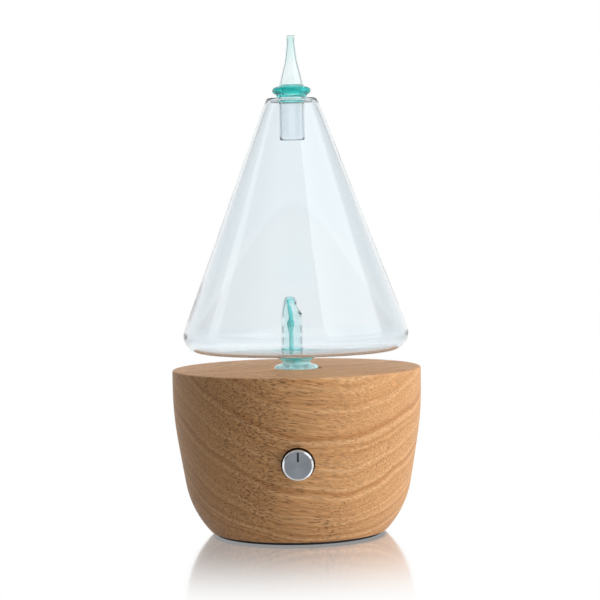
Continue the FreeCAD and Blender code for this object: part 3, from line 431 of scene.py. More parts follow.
fibre_frame = wood_tree.nodes.new("NodeFrame")
fibre_frame.label = "Fibres and pores along the trunk"
fibre_stretch = wood_tree.nodes.new("ShaderNodeMapping")
fibre_stretch.label = "Long and thin along the trunk"
fibre_stretch.inputs["Scale"].default_value = (90, 1500, 1500)
fibres = wood_tree.nodes.new("ShaderNodeTexNoise")
fibres.label = "Fibres"
fibres.inputs["Scale"].default_value = 1
fibres.inputs["Detail"].default_value = 3
pore_stretch = wood_tree.nodes.new("ShaderNodeMapping")
pore_stretch.label = "Pores a few millimetres long"
pore_stretch.inputs["Scale"].default_value = (260, 1700, 1700)
pores = wood_tree.nodes.new("ShaderNodeTexNoise")
pores.label = "Pores"
pores.inputs["Scale"].default_value = 1
pores.inputs["Detail"].default_value = 1
pores.inputs["Roughness"].default_value = 0.4
pore_patches = wood_tree.nodes.new("ShaderNodeTexNoise")
pore_patches.label = "Patches with many pores"
pore_patches.inputs["Scale"].default_value = 26
pore_patches.inputs["Detail"].default_value = 2
pore_level = wood_tree.nodes.new("ShaderNodeMath")
pore_level.operation = "MULTIPLY_ADD"
pore_level.label = "Patches lift the pores over the threshold"
pore_level.inputs[1].default_value = 0.42
# More dark pores towards the left (-X) side of the block and fewer towards the right, so the left is
# darker in colour.
pores_by_side = wood_tree.nodes.new("ShaderNodeMapRange")
pores_by_side.label = "More pores to the left, fewer to the right"
pores_by_side.inputs["From Min"].default_value = -0.005
pores_by_side.inputs["From Max"].default_value = 0.03
pores_by_side.inputs["To Min"].default_value = 0.025
pores_by_side.inputs["To Max"].default_value = -0.09
block_axes = wood_tree.nodes.new("ShaderNodeSeparateXYZ")
block_axes.label = "Side of the block"
pore_share = wood_tree.nodes.new("ShaderNodeMath")
pore_share.operation = "ADD"
pore_share.label = "More pores on one side"
pore_marks = wood_tree.nodes.new("ShaderNodeMapRange")
pore_marks.label = "Only the darkest show"
pore_marks.inputs["From Min"].default_value = 0.83
pore_marks.inputs["From Max"].default_value = 0.9
set_out(fibre_frame, -300, fibre_stretch, fibres, pore_stretch, pores, pore_patches, pore_level,
        pores_by_side, block_axes, pore_share, pore_marks)
wood_links.new(grain_turn.outputs["Vector"], fibre_stretch.inputs["Vector"])
wood_links.new(fibre_stretch.outputs["Vector"], fibres.inputs["Vector"])
wood_links.new(grain_turn.outputs["Vector"], pore_stretch.inputs["Vector"])
wood_links.new(pore_stretch.outputs["Vector"], pores.inputs["Vector"])
wood_links.new(grain_turn.outputs["Vector"], pore_patches.inputs["Vector"])
wood_links.new(pore_patches.outputs["Fac"], pore_level.inputs[0])
wood_links.new(pores.outputs["Fac"], pore_level.inputs[2])
wood_links.new(wood_place.outputs["Object"], block_axes.inputs["Vector"])
wood_links.new(block_axes.outputs["X"], pores_by_side.inputs["Value"])
wood_links.new(pore_level.outputs["Value"], pore_share.inputs[0])
wood_links.new(pores_by_side.outputs["Result"], pore_share.inputs[1])
wood_links.new(pore_share.outputs["Value"], pore_marks.inputs["Value"])

colour_frame = wood_tree.nodes.new("NodeFrame")
colour_frame.label = "Colour"
ring_colour = wood_tree.nodes.new("ShaderNodeValToRGB")
ring_colour.label = "Dark late wood to pale early wood"
wood_stops = ((0.3, (0.46, 0.213, 0.08)), (0.45, (0.55, 0.278, 0.114)), (0.6, (0.62, 0.338, 0.151)),
              (0.74, (0.69, 0.395, 0.194)))
fill_ramp(ring_colour.color_ramp, wood_stops)
fibre_tone = wood_tree.nodes.new("ShaderNodeMapRange")
fibre_tone.label = "Fibres darken and lighten a little"
fibre_tone.inputs["From Min"].default_value = 0.3
fibre_tone.inputs["From Max"].default_value = 0.7
fibre_tone.inputs["To Min"].default_value = 0.72
fibre_tone.inputs["To Max"].default_value = 1.16
fibre_colour = wood_tree.nodes.new("ShaderNodeVectorMath")
fibre_colour.operation = "MULTIPLY"
fibre_colour.label = "Fibres over rings"
pore_colour = wood_tree.nodes.new("ShaderNodeMix")
pore_colour.data_type = "RGBA"
pore_colour.label = "Dark pores"
pore_colour.inputs["B"].default_value = (0.13, 0.055, 0.024, 1)
pore_strength = wood_tree.nodes.new("ShaderNodeMath")
pore_strength.operation = "MULTIPLY"
pore_strength.label = "Pores are not black"
pore_strength.inputs[1].default_value = 0.62
set_out(colour_frame, -600, ring_colour, fibre_tone, fibre_colour, pore_colour, pore_strength)
wood_links.new(ring_tone.outputs["Result"], ring_colour.inputs["Fac"])
wood_links.new(fibres.outputs["Fac"], fibre_tone.inputs["Value"])
wood_links.new(ring_colour.outputs["Color"], fibre_colour.inputs[0])
wood_links.new(fibre_tone.outputs["Result"], fibre_colour.inputs[1])
wood_links.new(pore_marks.outputs["Result"], pore_strength.inputs[0])
wood_links.new(pore_strength.outputs["Value"], pore_colour.inputs["Factor"])
wood_links.new(fibre_colour.outputs["Vector"], pore_colour.inputs["A"])

surface_frame = wood_tree.nodes.new("NodeFrame")
surface_frame.label = "Oiled surface"
wood_rough = wood_tree.nodes.new("ShaderNodeMapRange")
wood_rough.label = "Late wood is a little shinier"
wood_rough.inputs["To Min"].default_value = 0.44
wood_rough.inputs["To Max"].default_value = 0.62
relief = wood_tree.nodes.new("ShaderNodeMath")
relief.operation = "SUBTRACT"
relief.label = "Fibres stand up, pores sink"
wood_bump = wood_tree.nodes.new("ShaderNodeBump")
wood_bump.label = "Open grain"
wood_bump.inputs["Strength"].default_value = 0.35
wood_bump.inputs["Distance"].default_value = 0.00012
wood_shader = wood_tree.nodes.new("ShaderNodeBsdfPrincipled")
wood_shader.label = "Oiled wood"
wood_shader.inputs["Specular IOR Level"].default_value = 0.3
wood_out = wood_tree.nodes.new("ShaderNodeOutputMaterial")
wood_out.label = "Finished wood"
set_out(surface_frame, -900, wood_rough, relief, wood_bump, wood_shader, wood_out)
wood_links.new(ring_tone.outputs["Result"], wood_rough.inputs["Value"])
wood_links.new(fibres.outputs["Fac"], relief.inputs[0])
wood_links.new(pore_marks.outputs["Result"], relief.inputs[1])
wood_links.new(relief.outputs["Value"], wood_bump.inputs["Height"])
wood_links.new(pore_colour.outputs["Result"], wood_shader.inputs["Base Color"])
wood_links.new(wood_rough.outputs["Result"], wood_shader.inputs["Roughness"])
wood_links.new(wood_bump.outputs["Normal"], wood_shader.inputs["Normal"])
wood_links.new(wood_shader.outputs["BSDF"], wood_out.inputs["Surface"])
wood.data.materials.append(oiled_wood)
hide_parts("wood_housing")
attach(wood, "base")

# Foot and bottom plate ---------------------------------------------------------------------
# A moulded rubber ring glued under the wood, and a black plastic plate with air intakes,
# held by countersunk steel screws in brass inserts.


def moulded(name, colour, roughness, grain, relief, clear_coat=0.0):
    """A moulded material: even colour with slight clouding and a fine surface grain."""
    material = bpy.data.materials.new(name)
    material.use_nodes = True
    tree = material.node_tree
    tree.nodes.clear()
    place = tree.nodes.new("ShaderNodeTexCoord")
    place.label = "Place on the moulding"
    clouds = tree.nodes.new("ShaderNodeTexNoise")
    clouds.label = "Slow clouding"
    clouds.inputs["Scale"].default_value = 120
    clouds.inputs["Detail"].default_value = 3
    tone = tree.nodes.new("ShaderNodeMix")
    tone.data_type = "RGBA"
    tone.label = "Clouded colour"
    tone.inputs["A"].default_value = (*(part * 0.85 for part in colour), 1)
    tone.inputs["B"].default_value = (*(min(part * 1.12, 1) for part in colour), 1)
    spark = tree.nodes.new("ShaderNodeTexNoise")
    spark.label = "Grain of the mould"
    spark.inputs["Scale"].default_value = grain
    spark.inputs["Detail"].default_value = 2
    wear = tree.nodes.new("ShaderNodeMapRange")
    wear.label = "Duller and shinier spots"
    wear.inputs["To Min"].default_value = roughness * 0.85
    wear.inputs["To Max"].default_value = min(roughness * 1.2, 1)
    bump = tree.nodes.new("ShaderNodeBump")
    bump.label = "Fine relief"
    bump.inputs["Strength"].default_value = 0.4
    bump.inputs["Distance"].default_value = relief
    shader = tree.nodes.new("ShaderNodeBsdfPrincipled")
    shader.label = "Moulding"
    shader.inputs["Coat Weight"].default_value = clear_coat
    out = tree.nodes.new("ShaderNodeOutputMaterial")
    out.label = "Finished moulding"
    cloud_frame = tree.nodes.new("NodeFrame")
    cloud_frame.label = "Clouding of the colour"
    set_out(cloud_frame, 0, place, clouds, tone)
    skin_frame = tree.nodes.new("NodeFrame")
    skin_frame.label = "Skin left by the mould"
    set_out(skin_frame, -300, spark, wear, bump, shader, out)
    tree.links.new(place.outputs["Object"], clouds.inputs["Vector"])
    tree.links.new(place.outputs["Object"], spark.inputs["Vector"])
    tree.links.new(clouds.outputs["Fac"], tone.inputs["Factor"])
    tree.links.new(tone.outputs["Result"], shader.inputs["Base Color"])
    tree.links.new(clouds.outputs["Fac"], wear.inputs["Value"])
    tree.links.new(wear.outputs["Result"], shader.inputs["Roughness"])
    tree.links.new(spark.outputs["Fac"], bump.inputs["Height"])
    tree.links.new(bump.outputs["Normal"], shader.inputs["Normal"])
    tree.links.new(shader.outputs["BSDF"], out.inputs["Surface"])
    return material


def worked_metal(name, colour, roughness, anisotropy, streak_scale, radial=False):
    """Metal with fine tool marks; anisotropy stretches its highlights across them."""
    metal = bpy.data.materials.new(name)
    metal.use_nodes = True
    tree = metal.node_tree
    tree.nodes.clear()
    place = tree.nodes.new("ShaderNodeTexCoord")
    place.label = "Place on the metal"
    stretch = tree.nodes.new("ShaderNodeMapping")
    stretch.label = "Direction of the tool marks"
    stretch.inputs["Scale"].default_value = streak_scale
    marks = tree.nodes.new("ShaderNodeTexNoise")
    marks.label = "Tool marks"
    marks.inputs["Scale"].default_value = 1
    marks.inputs["Detail"].default_value = 2
    shine = tree.nodes.new("ShaderNodeMapRange")
    shine.label = "Duller and shinier strokes"
    shine.inputs["To Min"].default_value = roughness * 0.8
    shine.inputs["To Max"].default_value = roughness * 1.25
    tone = tree.nodes.new("ShaderNodeMix")
    tone.data_type = "RGBA"
    tone.label = "Slight tarnish"
    tone.inputs["A"].default_value = (*(part * 0.86 for part in colour), 1)
    tone.inputs["B"].default_value = (*colour, 1)
    shader = tree.nodes.new("ShaderNodeBsdfPrincipled")
    shader.label = "Bare metal"
    shader.inputs["Metallic"].default_value = 1
    shader.inputs["Anisotropic"].default_value = anisotropy
    out = tree.nodes.new("ShaderNodeOutputMaterial")
    out.label = "Finished metal"
    marks_frame = tree.nodes.new("NodeFrame")
    marks_frame.label = "Tool marks and tarnish"
    set_out(marks_frame, 0, place, stretch, marks, shine, tone)
    polish_frame = tree.nodes.new("NodeFrame")
    polish_frame.label = "Polish"
    set_out(polish_frame, -300, shader, out)
    tree.links.new(place.outputs["Object"], stretch.inputs["Vector"])
    tree.links.new(stretch.outputs["Vector"], marks.inputs["Vector"])
    tree.links.new(marks.outputs["Fac"], shine.inputs["Value"])
    tree.links.new(marks.outputs["Fac"], tone.inputs["Factor"])
    tree.links.new(tone.outputs["Result"], shader.inputs["Base Color"])
    tree.links.new(shine.outputs["Result"], shader.inputs["Roughness"])
    if radial:
        around = tree.nodes.new("ShaderNodeTangent")
        around.direction_type = "RADIAL"
        around.axis = "Y"
        around.label = "Spun about the knob's axis"
        around.location = (-220, -300)
        around.parent = polish_frame
        tree.links.new(around.outputs["Tangent"], shader.inputs["Tangent"])
    tree.links.new(shader.outputs["BSDF"], out.inputs["Surface"])
    return metal


def dress(material, *names):
    """Give CAD nodes their material."""
    for name in names:
        nodes[name].data.materials.clear()
        nodes[name].data.materials.append(material)


foot_rubber = moulded("foot_rubber", (0.02, 0.02, 0.022), 0.75, 2500, 0.00004)
black_plastic = moulded("black_plastic", (0.022, 0.022, 0.024), 0.42, 4000, 0.00002)
plated_steel = worked_metal("plated_steel", (0.68, 0.69, 0.7), 0.26, 0.3, (300, 300, 3000))
turned_brass = worked_metal("turned_brass", (0.78, 0.57, 0.27), 0.3, 0.3, (400, 400, 3000))
dress(foot_rubber, "foot_ring")
dress(black_plastic, "bottom_plate")
dress(plated_steel, "bottom_screws")
dress(turned_brass, "threaded_inserts")

# Glass socket and air line -----------------------------------------------------------------
# A pale silicone socket lines the bore under the glass, a white ring holds it from below, and
# a clear silicone hose brings the air from the pump to a barbed fitting.
white_plastic = moulded("white_plastic", (0.8, 0.79, 0.76), 0.38, 3500, 0.00002)
pale_silicone = moulded("pale_silicone", (0.62, 0.64, 0.64), 0.5, 1500, 0.00003, 0.1)
dress(pale_silicone, "seat_socket", "air_tube")
dress(white_plastic, "socket_retainer", "air_fitting")

# Air pump ----------------------------------------------------------------------------------
# A small diaphragm pump: a can motor with magnets, shaft and eccentric, a moulded crankcase,
# a rubber diaphragm and a valve plate, on a foam cradle under a steel strap.
pump_rubber = moulded("pump_rubber", (0.035, 0.035, 0.04), 0.6, 2500, 0.00003)
open_foam = moulded("open_foam", (0.06, 0.06, 0.065), 0.95, 1100, 0.0004)
sintered_ferrite = moulded("sintered_ferrite", (0.045, 0.042, 0.042), 0.7, 2000, 0.00004)
dress(plated_steel, "motor_can", "motor_shaft", "motor_armature", "pump_screws", "pump_strap",
      "strap_screws")
dress(white_plastic, "motor_endcap", "eccentric", "wobble_plate", "valve_plate")
dress(black_plastic, "pump_crankcase", "pump_head")
dress(pump_rubber, "pump_diaphragm")
dress(sintered_ferrite, "motor_magnets")
dress(open_foam, "pump_cradle")

# Knob --------------------------------------------------------------------------------------
# A turned aluminium cap with a spun face, a bright diamond-cut edge and a black pointer let
# into it, pressed over a plastic core on the potentiometer's shaft. The spun face's colour is
# painted far darker than aluminium, as painted shade for the dim room it reflects.
KNOB_RADIUS = 6.55 * MM
KNOB_FRONT = 56.2 * MM
KNOB_BACK = 43 * MM
CUT_EDGE = 0.75 * MM
KNOB_WALL = 1.2 * MM
EDGE_START = KNOB_RADIUS - CUT_EDGE
knob_length = KNOB_FRONT - KNOB_BACK
knob = turned("spun_knob", [
    (0, knob_length),
    (2 * MM, knob_length),
    (EDGE_START - 0.35 * MM, knob_length),
    (EDGE_START - 0.02 * MM, knob_length),
    (EDGE_START + 0.02 * MM, knob_length - 0.02 * MM),
    (KNOB_RADIUS - 0.03 * MM, knob_length - CUT_EDGE + 0.03 * MM),
    (KNOB_RADIUS, knob_length - CUT_EDGE - 0.03 * MM),
    (KNOB_RADIUS, 6 * MM),
    (KNOB_RADIUS, 0.1 * MM),
    (KNOB_RADIUS - 0.1 * MM, 0),
    (KNOB_RADIUS - KNOB_WALL, 0),
    (KNOB_RADIUS - KNOB_WALL, 6 * MM),
    (KNOB_RADIUS - KNOB_WALL, knob_length - KNOB_WALL),
    (0, knob_length - KNOB_WALL),
], 96, 0, closed=False)
make_mesh(knob)
face_front = Matrix.Rotation(math.radians(90), 4, "X")
knob.data.transform(Matrix.Translation((0, -KNOB_BACK, KNOB_CENTRE.z)) @ face_front)
slot_bit = bmesh.new()
bmesh.ops.create_cube(slot_bit, size=1)
pointer_low, pointer_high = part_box("knob_pointer")
slot_place = Matrix.Translation((0, -KNOB_FRONT, (pointer_low.z + pointer_high.z) / 2))
slot_size = Matrix.Diagonal((0.9 * MM, 0.8 * MM, 4 * MM, 1))
bmesh.ops.transform(slot_bit, verts=slot_bit.verts, matrix=slot_place @ slot_size)
slot_mesh = bpy.data.meshes.new("slot_bit")
slot_bit.to_mesh(slot_mesh)
slot_bit.free()
slot_cutter = bpy.data.objects.new("slot_bit", slot_mesh)
scene.collection.objects.link(slot_cutter)
slot_cut = knob.modifiers.new("pointer_slot", "BOOLEAN")
slot_cut.object = slot_cutter
slot_cut.solver = "EXACT"
make_mesh(knob)
bpy.data.objects.remove(slot_cutter)
knob.data.set_sharp_from_angle(angle=math.radians(25))
even_marks = (900, 900, 900)
# The face's colour is painted far darker than aluminium, as painted shade for the dim room it reflects;
# the diamond-cut edge keeps the metal's own bright colour.
spun_face_painted_dark = worked_metal("spun_aluminium", (0.25, 0.27, 0.3), 0.28, 0.85, even_marks, radial=True)
cut_edge = worked_metal("diamond_cut_edge", (0.93, 0.94, 0.96), 0.22, 0, even_marks)
knob.data.materials.append(spun_face_painted_dark)
knob.data.materials.append(cut_edge)
for side in knob.data.polygons:
    from_axis = math.hypot(side.center.x, side.center.z - KNOB_CENTRE.z)
    side.material_index = int(from_axis > EDGE_START - 0.05 * MM)
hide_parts("knob_shell")
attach(knob, "knob")
pointer_paint = moulded("pointer_paint", (0.008, 0.008, 0.009), 0.45, 4000, 0.00001)
dress(pointer_paint, "knob_pointer")
dress(black_plastic, "knob_core")

# Potentiometer -----------------------------------------------------------------------------
# A carbon-track potentiometer in a steel can. Its washer and hexagon nut hold it to a bent steel
# bracket, which stands on the bottom plate under two screws.
carbon_track = moulded("carbon_track", (0.03, 0.028, 0.026), 0.55, 3000, 0.00002)
dress(plated_steel, "potentiometer_shaft", "potentiometer_can", "potentiometer_terminals",
      "potentiometer_bracket", "bracket_screws", "potentiometer_washer", "potentiometer_nut")
dress(carbon_track, "potentiometer_track")
dress(white_plastic, "potentiometer_wiper")

# Control board -----------------------------------------------------------------------------
# A round green board hung from the ceiling of the cavity, with a timer chip, a capacitor, a
# motor driver and two plug connectors.
board_green = moulded("board_green", (0.018, 0.13, 0.05), 0.32, 900, 0.00005, 0.6)
capacitor_sleeve = moulded("capacitor_sleeve", (0.02, 0.03, 0.12), 0.35, 3000, 0.00001, 0.4)
dress(board_green, "control_board")
dress(capacitor_sleeve, "smoothing_capacitor")
dress(black_plastic, "timer_chip", "motor_driver")
dress(white_plastic, "board_standoffs", "board_connectors")
dress(plated_steel, "board_screws")

# Power inlet and leads ---------------------------------------------------------------------
# A round inlet with its centre pin, screwed into the back of the wood with a nut, and the
# leads that join it, the motor and the potentiometer to the board.
lead_red = moulded("lead_red", (0.5, 0.03, 0.025), 0.4, 2500, 0.00001)
inlet_plastic = moulded("inlet_plastic", (0.015, 0.015, 0.016), 0.3, 4000, 0.00001, 0.2)
dress(inlet_plastic, "dc_jack_body")
dress(plated_steel, "dc_jack_pin", "dc_jack_nut", "dc_jack_terminals")
dress(lead_red, "power_leads", "motor_leads", "potentiometer_leads")

# Glass reservoir -----------------------------------------------------------------------------
# One blown piece of borosilicate: a cone with a rounded foot corner, a floor that thickens to a
# low mound over the waist, a foot flange and a stub that stands in the socket. The foot was
# worked from turquoise rod, so the mound and the flange are tinted and the cone is clear.


def blown_glass(name, clear, tints, low, high, tint_radius, hazes):
    """Blown glass; tints and milky hazes run up its height, the tints within a radius."""
    glass = bpy.data.materials.new(name)
    glass.use_nodes = True
    tree = glass.node_tree
    tree.nodes.clear()
    tint_frame = tree.nodes.new("NodeFrame")
    tint_frame.label = "Where the tinted rod was worked in"
    surface_frame = tree.nodes.new("NodeFrame")
    surface_frame.label = "Blown surface"
    place = tree.nodes.new("ShaderNodeTexCoord")
    place.label = "Place on the glass"
    axes = tree.nodes.new("ShaderNodeSeparateXYZ")
    axes.label = "Height on the glass"
    flat = tree.nodes.new("ShaderNodeVectorMath")
    flat.operation = "MULTIPLY"
    flat.label = "Drop the height"
    flat.inputs[1].default_value = (1, 1, 0)
    reach = tree.nodes.new("ShaderNodeVectorMath")
    reach.operation = "LENGTH"
    reach.label = "Distance from the axis"
    near_axis = tree.nodes.new("ShaderNodeMapRange")
    near_axis.interpolation_type = "SMOOTHSTEP"
    near_axis.label = "Tint fades outwards"
    near_axis.inputs["From Min"].default_value = tint_radius + 3 * MM
    near_axis.inputs["From Max"].default_value = tint_radius - 3 * MM
    climb = tree.nodes.new("ShaderNodeMapRange")
    climb.label = "Height along the tinted stretch"
    climb.inputs["From Min"].default_value = low
    climb.inputs["From Max"].default_value = high
    rod = tree.nodes.new("ShaderNodeValToRGB")
    rod.label = "Tint of the rod, from foot to tip"
    fill_ramp(rod.color_ramp, tints)
    tint = tree.nodes.new("ShaderNodeMix")
    tint.data_type = "RGBA"
    tint.label = "Clear to tinted"
    tint.inputs["A"].default_value = (*clear, 1)
    milky = tree.nodes.new("ShaderNodeValToRGB")
    milky.label = "Milky stretches up the glass"
    fill_ramp(milky.color_ramp, [(position, (share,) * 3) for position, share in hazes])
    inner_haze = tree.nodes.new("ShaderNodeMapRange")
    inner_haze.label = "Milkier near the axis"
    inner_haze.inputs["To Min"].default_value = 0.25
    haze = tree.nodes.new("ShaderNodeMath")
    haze.operation = "MULTIPLY"
    haze.label = "Haze"
    clearness = tree.nodes.new("ShaderNodeMath")
    clearness.operation = "SUBTRACT"
    clearness.label = "What the haze leaves clear"
    clearness.inputs[0].default_value = 1
    waves = tree.nodes.new("ShaderNodeTexNoise")
    waves.label = "Slow waves from blowing"
    waves.inputs["Scale"].default_value = 28
    waves.inputs["Detail"].default_value = 1
    wavy = tree.nodes.new("ShaderNodeBump")
    wavy.label = "Not quite even"
    wavy.inputs["Strength"].default_value = 0.12
    wavy.inputs["Distance"].default_value = 0.0015
    shader = tree.nodes.new("ShaderNodeBsdfPrincipled")
    shader.label = "Glass"
    shader.inputs["Roughness"].default_value = 0
    shader.inputs["IOR"].default_value = 1.47
    out = tree.nodes.new("ShaderNodeOutputMaterial")
    out.label = "Finished glass"
    set_out(tint_frame, 0, place, axes, flat, reach, near_axis, climb, rod, tint, milky, inner_haze, haze,
            clearness)
    set_out(surface_frame, -300, waves, wavy, shader, out)
    tree.links.new(place.outputs["Object"], axes.inputs["Vector"])
    tree.links.new(place.outputs["Object"], flat.inputs[0])
    tree.links.new(flat.outputs["Vector"], reach.inputs[0])
    tree.links.new(reach.outputs["Value"], near_axis.inputs["Value"])
    tree.links.new(axes.outputs["Z"], climb.inputs["Value"])
    tree.links.new(climb.outputs["Result"], rod.inputs["Fac"])
    tree.links.new(near_axis.outputs["Result"], tint.inputs["Factor"])
    tree.links.new(rod.outputs["Color"], tint.inputs["B"])
    tree.links.new(tint.outputs["Result"], shader.inputs["Base Color"])
    tree.links.new(climb.outputs["Result"], milky.inputs["Fac"])
    tree.links.new(near_axis.outputs["Result"], inner_haze.inputs["Value"])
    tree.links.new(milky.outputs["Color"], haze.inputs[0])
    tree.links.new(inner_haze.outputs["Result"], haze.inputs[1])
    tree.links.new(haze.outputs["Value"], clearness.inputs[1])
    tree.links.new(clearness.outputs["Value"], shader.inputs["Transmission Weight"])
    tree.links.new(place.outputs["Object"], waves.inputs["Vector"])
    tree.links.new(waves.outputs["Fac"], wavy.inputs["Height"])
    tree.links.new(wavy.outputs["Normal"], shader.inputs["Normal"])
    tree.links.new(shader.outputs["BSDF"], out.inputs["Surface"])
    return glass


def finish_glass(piece, material, node, body):
    """Give a glass piece its material and place; it lets the studio's light through."""
    piece.data.materials.append(material)
    piece.visible_shadow = False
    piece.visible_diffuse = False
    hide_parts(node)
    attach(piece, body)


CONE_LEAN = math.radians(20.6)
CONE_TOP = WOOD_TOP + 119.2 * MM
CONE_TOP_RADIUS = 11.2 * MM
FLOOR_LEVEL = WOOD_TOP + 7.5 * MM
CORNER_RADIUS = 7.5 * MM
GLASS_WALL = 1.6 * MM
THIN_FLOOR = 1.1 * MM
INNER_CORNER = 5.6 * MM
SAG_RADIUS = 12.5 * MM
SAG_LEVEL = WOOD_TOP + 6.1 * MM
WAIST_RADIUS = 6 * MM
WAIST_LEVEL = WOOD_TOP + 2.8 * MM
FLANGE_RADIUS = 10 * MM
FLANGE_LOW = WOOD_TOP - 1.2 * MM
FLANGE_HIGH = WOOD_TOP + 1.1 * MM
STUB_RADIUS = 4.8 * MM
STUB_END = WOOD_TOP - 16 * MM
STUB_BORE = 2.6 * MM
AIR_BORE = 1.1 * MM
MOUND_LEVEL = WOOD_TOP + 8.8 * MM
MOUTH_RADIUS = 6.05 * MM
LIP = 1.1 * MM

cone_foot = CONE_TOP_RADIUS + (CONE_TOP - FLOOR_LEVEL) * math.tan(CONE_LEAN)
corner_x = cone_foot - CORNER_RADIUS / math.tan((math.pi / 2 - CONE_LEAN) / 2)
corner_z = FLOOR_LEVEL + CORNER_RADIUS
lean_degrees = math.degrees(CONE_LEAN)
reservoir_profile = [
    (MOUTH_RADIUS + 0.3 * MM, CONE_TOP),
    (CONE_TOP_RADIUS - 1.6 * MM, CONE_TOP),
]
reservoir_profile += arc((CONE_TOP_RADIUS - LIP, CONE_TOP - LIP), LIP, 80, lean_degrees, 4)
reservoir_profile += [(CONE_TOP_RADIUS + drop * MM * math.tan(CONE_LEAN), CONE_TOP - drop * MM)
                      for drop in (4, 30, 60, 85)]
reservoir_profile += arc((corner_x, corner_z), CORNER_RADIUS, lean_degrees, -90, 10)
reservoir_profile += [
    (32 * MM, FLOOR_LEVEL - 0.15 * MM),
    (22 * MM, FLOOR_LEVEL - 0.5 * MM),
    (SAG_RADIUS, SAG_LEVEL),
    (10 * MM, SAG_LEVEL - 0.5 * MM),
    (7.3 * MM, WAIST_LEVEL + 1 * MM),
    (WAIST_RADIUS, WAIST_LEVEL),
    (WAIST_RADIUS + 0.4 * MM, WAIST_LEVEL - 1.1 * MM),
    (8 * MM, FLANGE_HIGH + 0.4 * MM),
    (FLANGE_RADIUS - 0.6 * MM, FLANGE_HIGH),
    (FLANGE_RADIUS, (FLANGE_HIGH + FLANGE_LOW) / 2),
    (FLANGE_RADIUS - 0.5 * MM, FLANGE_LOW),
    (STUB_RADIUS + 0.6 * MM, FLANGE_LOW),
    (STUB_RADIUS, FLANGE_LOW - 0.8 * MM),
    (STUB_RADIUS - 0.1 * MM, STUB_END + 0.5 * MM),
    (STUB_RADIUS - 0.5 * MM, STUB_END),
    (STUB_BORE, STUB_END),
    (STUB_BORE, WAIST_LEVEL - 1 * MM),
    (AIR_BORE + 0.3 * MM, WAIST_LEVEL),
    (AIR_BORE, WAIST_LEVEL + 0.6 * MM),
    (AIR_BORE, MOUND_LEVEL - 0.4 * MM),
    (AIR_BORE + 0.5 * MM, MOUND_LEVEL),
    (5.6 * MM, MOUND_LEVEL),
    (9 * MM, MOUND_LEVEL - 0.25 * MM),
    (SAG_RADIUS, MOUND_LEVEL - 0.6 * MM),
    (22 * MM, FLOOR_LEVEL + THIN_FLOOR - 0.4 * MM),
    (33 * MM, FLOOR_LEVEL + THIN_FLOOR - 0.1 * MM),
]
wall_shift = GLASS_WALL / math.cos(CONE_LEAN)
inner_z = FLOOR_LEVEL + THIN_FLOOR + INNER_CORNER
inner_drop = CONE_TOP - inner_z - INNER_CORNER * math.sin(CONE_LEAN)
inner_x = (CONE_TOP_RADIUS + inner_drop * math.tan(CONE_LEAN)
           - wall_shift - INNER_CORNER * math.cos(CONE_LEAN))
reservoir_profile += arc((inner_x, inner_z), INNER_CORNER, -90, lean_degrees, 8)
reservoir_profile += [
    (CONE_TOP_RADIUS + drop * MM * math.tan(CONE_LEAN) - wall_shift, CONE_TOP - drop * MM)
    for drop in (85, 60, 30, 5)]
reservoir_profile += [
    (CONE_TOP_RADIUS - wall_shift + 0.4 * MM, CONE_TOP - 1.6 * MM),
    (8.9 * MM, CONE_TOP - 0.95 * MM),
    (MOUTH_RADIUS + 0.4 * MM, CONE_TOP - 0.9 * MM),
    (MOUTH_RADIUS, CONE_TOP - 0.75 * MM),
    (MOUTH_RADIUS, CONE_TOP - 0.4 * MM),
]
reservoir = turned("blown_reservoir", reservoir_profile, 128, 1)
CLEAR = (0.915, 0.95, 0.968)
foot_tints = ((0, (0.66, 0.96, 0.94)), (0.4, (0.58, 0.95, 0.93)), (0.6, (0.08, 0.78, 0.77)),
              (0.97, (0.04, 0.72, 0.72)), (1, CLEAR))
foot_hazes = ((0, 0.3), (0.4, 0.3), (0.6, 0.5), (0.97, 0.5), (1, 0))
clear_glass = blown_glass("clear_glass", CLEAR, foot_tints, FLANGE_LOW, WOOD_TOP + 9.4 * MM,
                          11 * MM, foot_hazes)
finish_glass(reservoir, clear_glass, "glass_reservoir", "reservoir")

# Nozzle ------------------------------------------------------------------------------------
# A turquoise jet tube with a knot of melted glass, the oil's riser beside it and a clear shroud
# over both stand on the mound, melted to it. The shroud's tip leans to the left, and a mouth on
# its right lets the mist out.
NOZZLE_X = -1.7 * MM


def lean_tip(piece, start, end, shift):
    """Draw the top of a piece to one side, more and more from a start to an end height."""
    for point in piece.data.vertices:
        share = min(max((point.co.z - start) / (end - start), 0), 1)
        point.co.x += shift * share * share * (3 - 2 * share)


def set_down(piece, x, y, z):
    """Put a finished mesh where it belongs, with its object left at the origin."""
    piece.data.transform(Matrix.Translation((x, y, z)))


shroud = turned("shroud", [(r * MM, h * MM) for r, h in (
    (0, 31.5), (1.1, 31.4), (1.9, 31), (2.4, 30), (3.1, 28.6), (3.8, 27.2), (4.35, 25.6),
    (4.65, 23.6), (4.75, 21.5), (4.75, 12), (4.8, 9.9), (5.1, 9.1), (4.6, 8.85), (4.1, 9.1),
    (3.95, 9.9), (3.9, 12), (3.9, 21.5), (3.8, 23.4), (3.5, 25.2), (3, 26.6), (2.3, 28),
    (1.7, 29.4), (1.2, 30.3), (0.6, 30.6), (0, 30.7))], 64, 1, closed=False)
make_mesh(shroud)
lean_tip(shroud, 24 * MM, 31.4 * MM, -0.7 * MM)
MIST_MOUTH = 3 * MM
drill(shroud, (1.7 * MM, 0, 25.7 * MM), (0.92, 0, 0.39), MIST_MOUTH, 8 * MM)
shroud.data.set_sharp_from_angle(angle=math.radians(40))
set_down(shroud, NOZZLE_X, 0, WOOD_TOP)
pale_tints = ((0, (0.3, 0.85, 0.86)), (0.2, (0.9, 0.985, 0.985)), (0.85, (0.9, 0.985, 0.985)),
              (1, (0.55, 0.93, 0.93)))
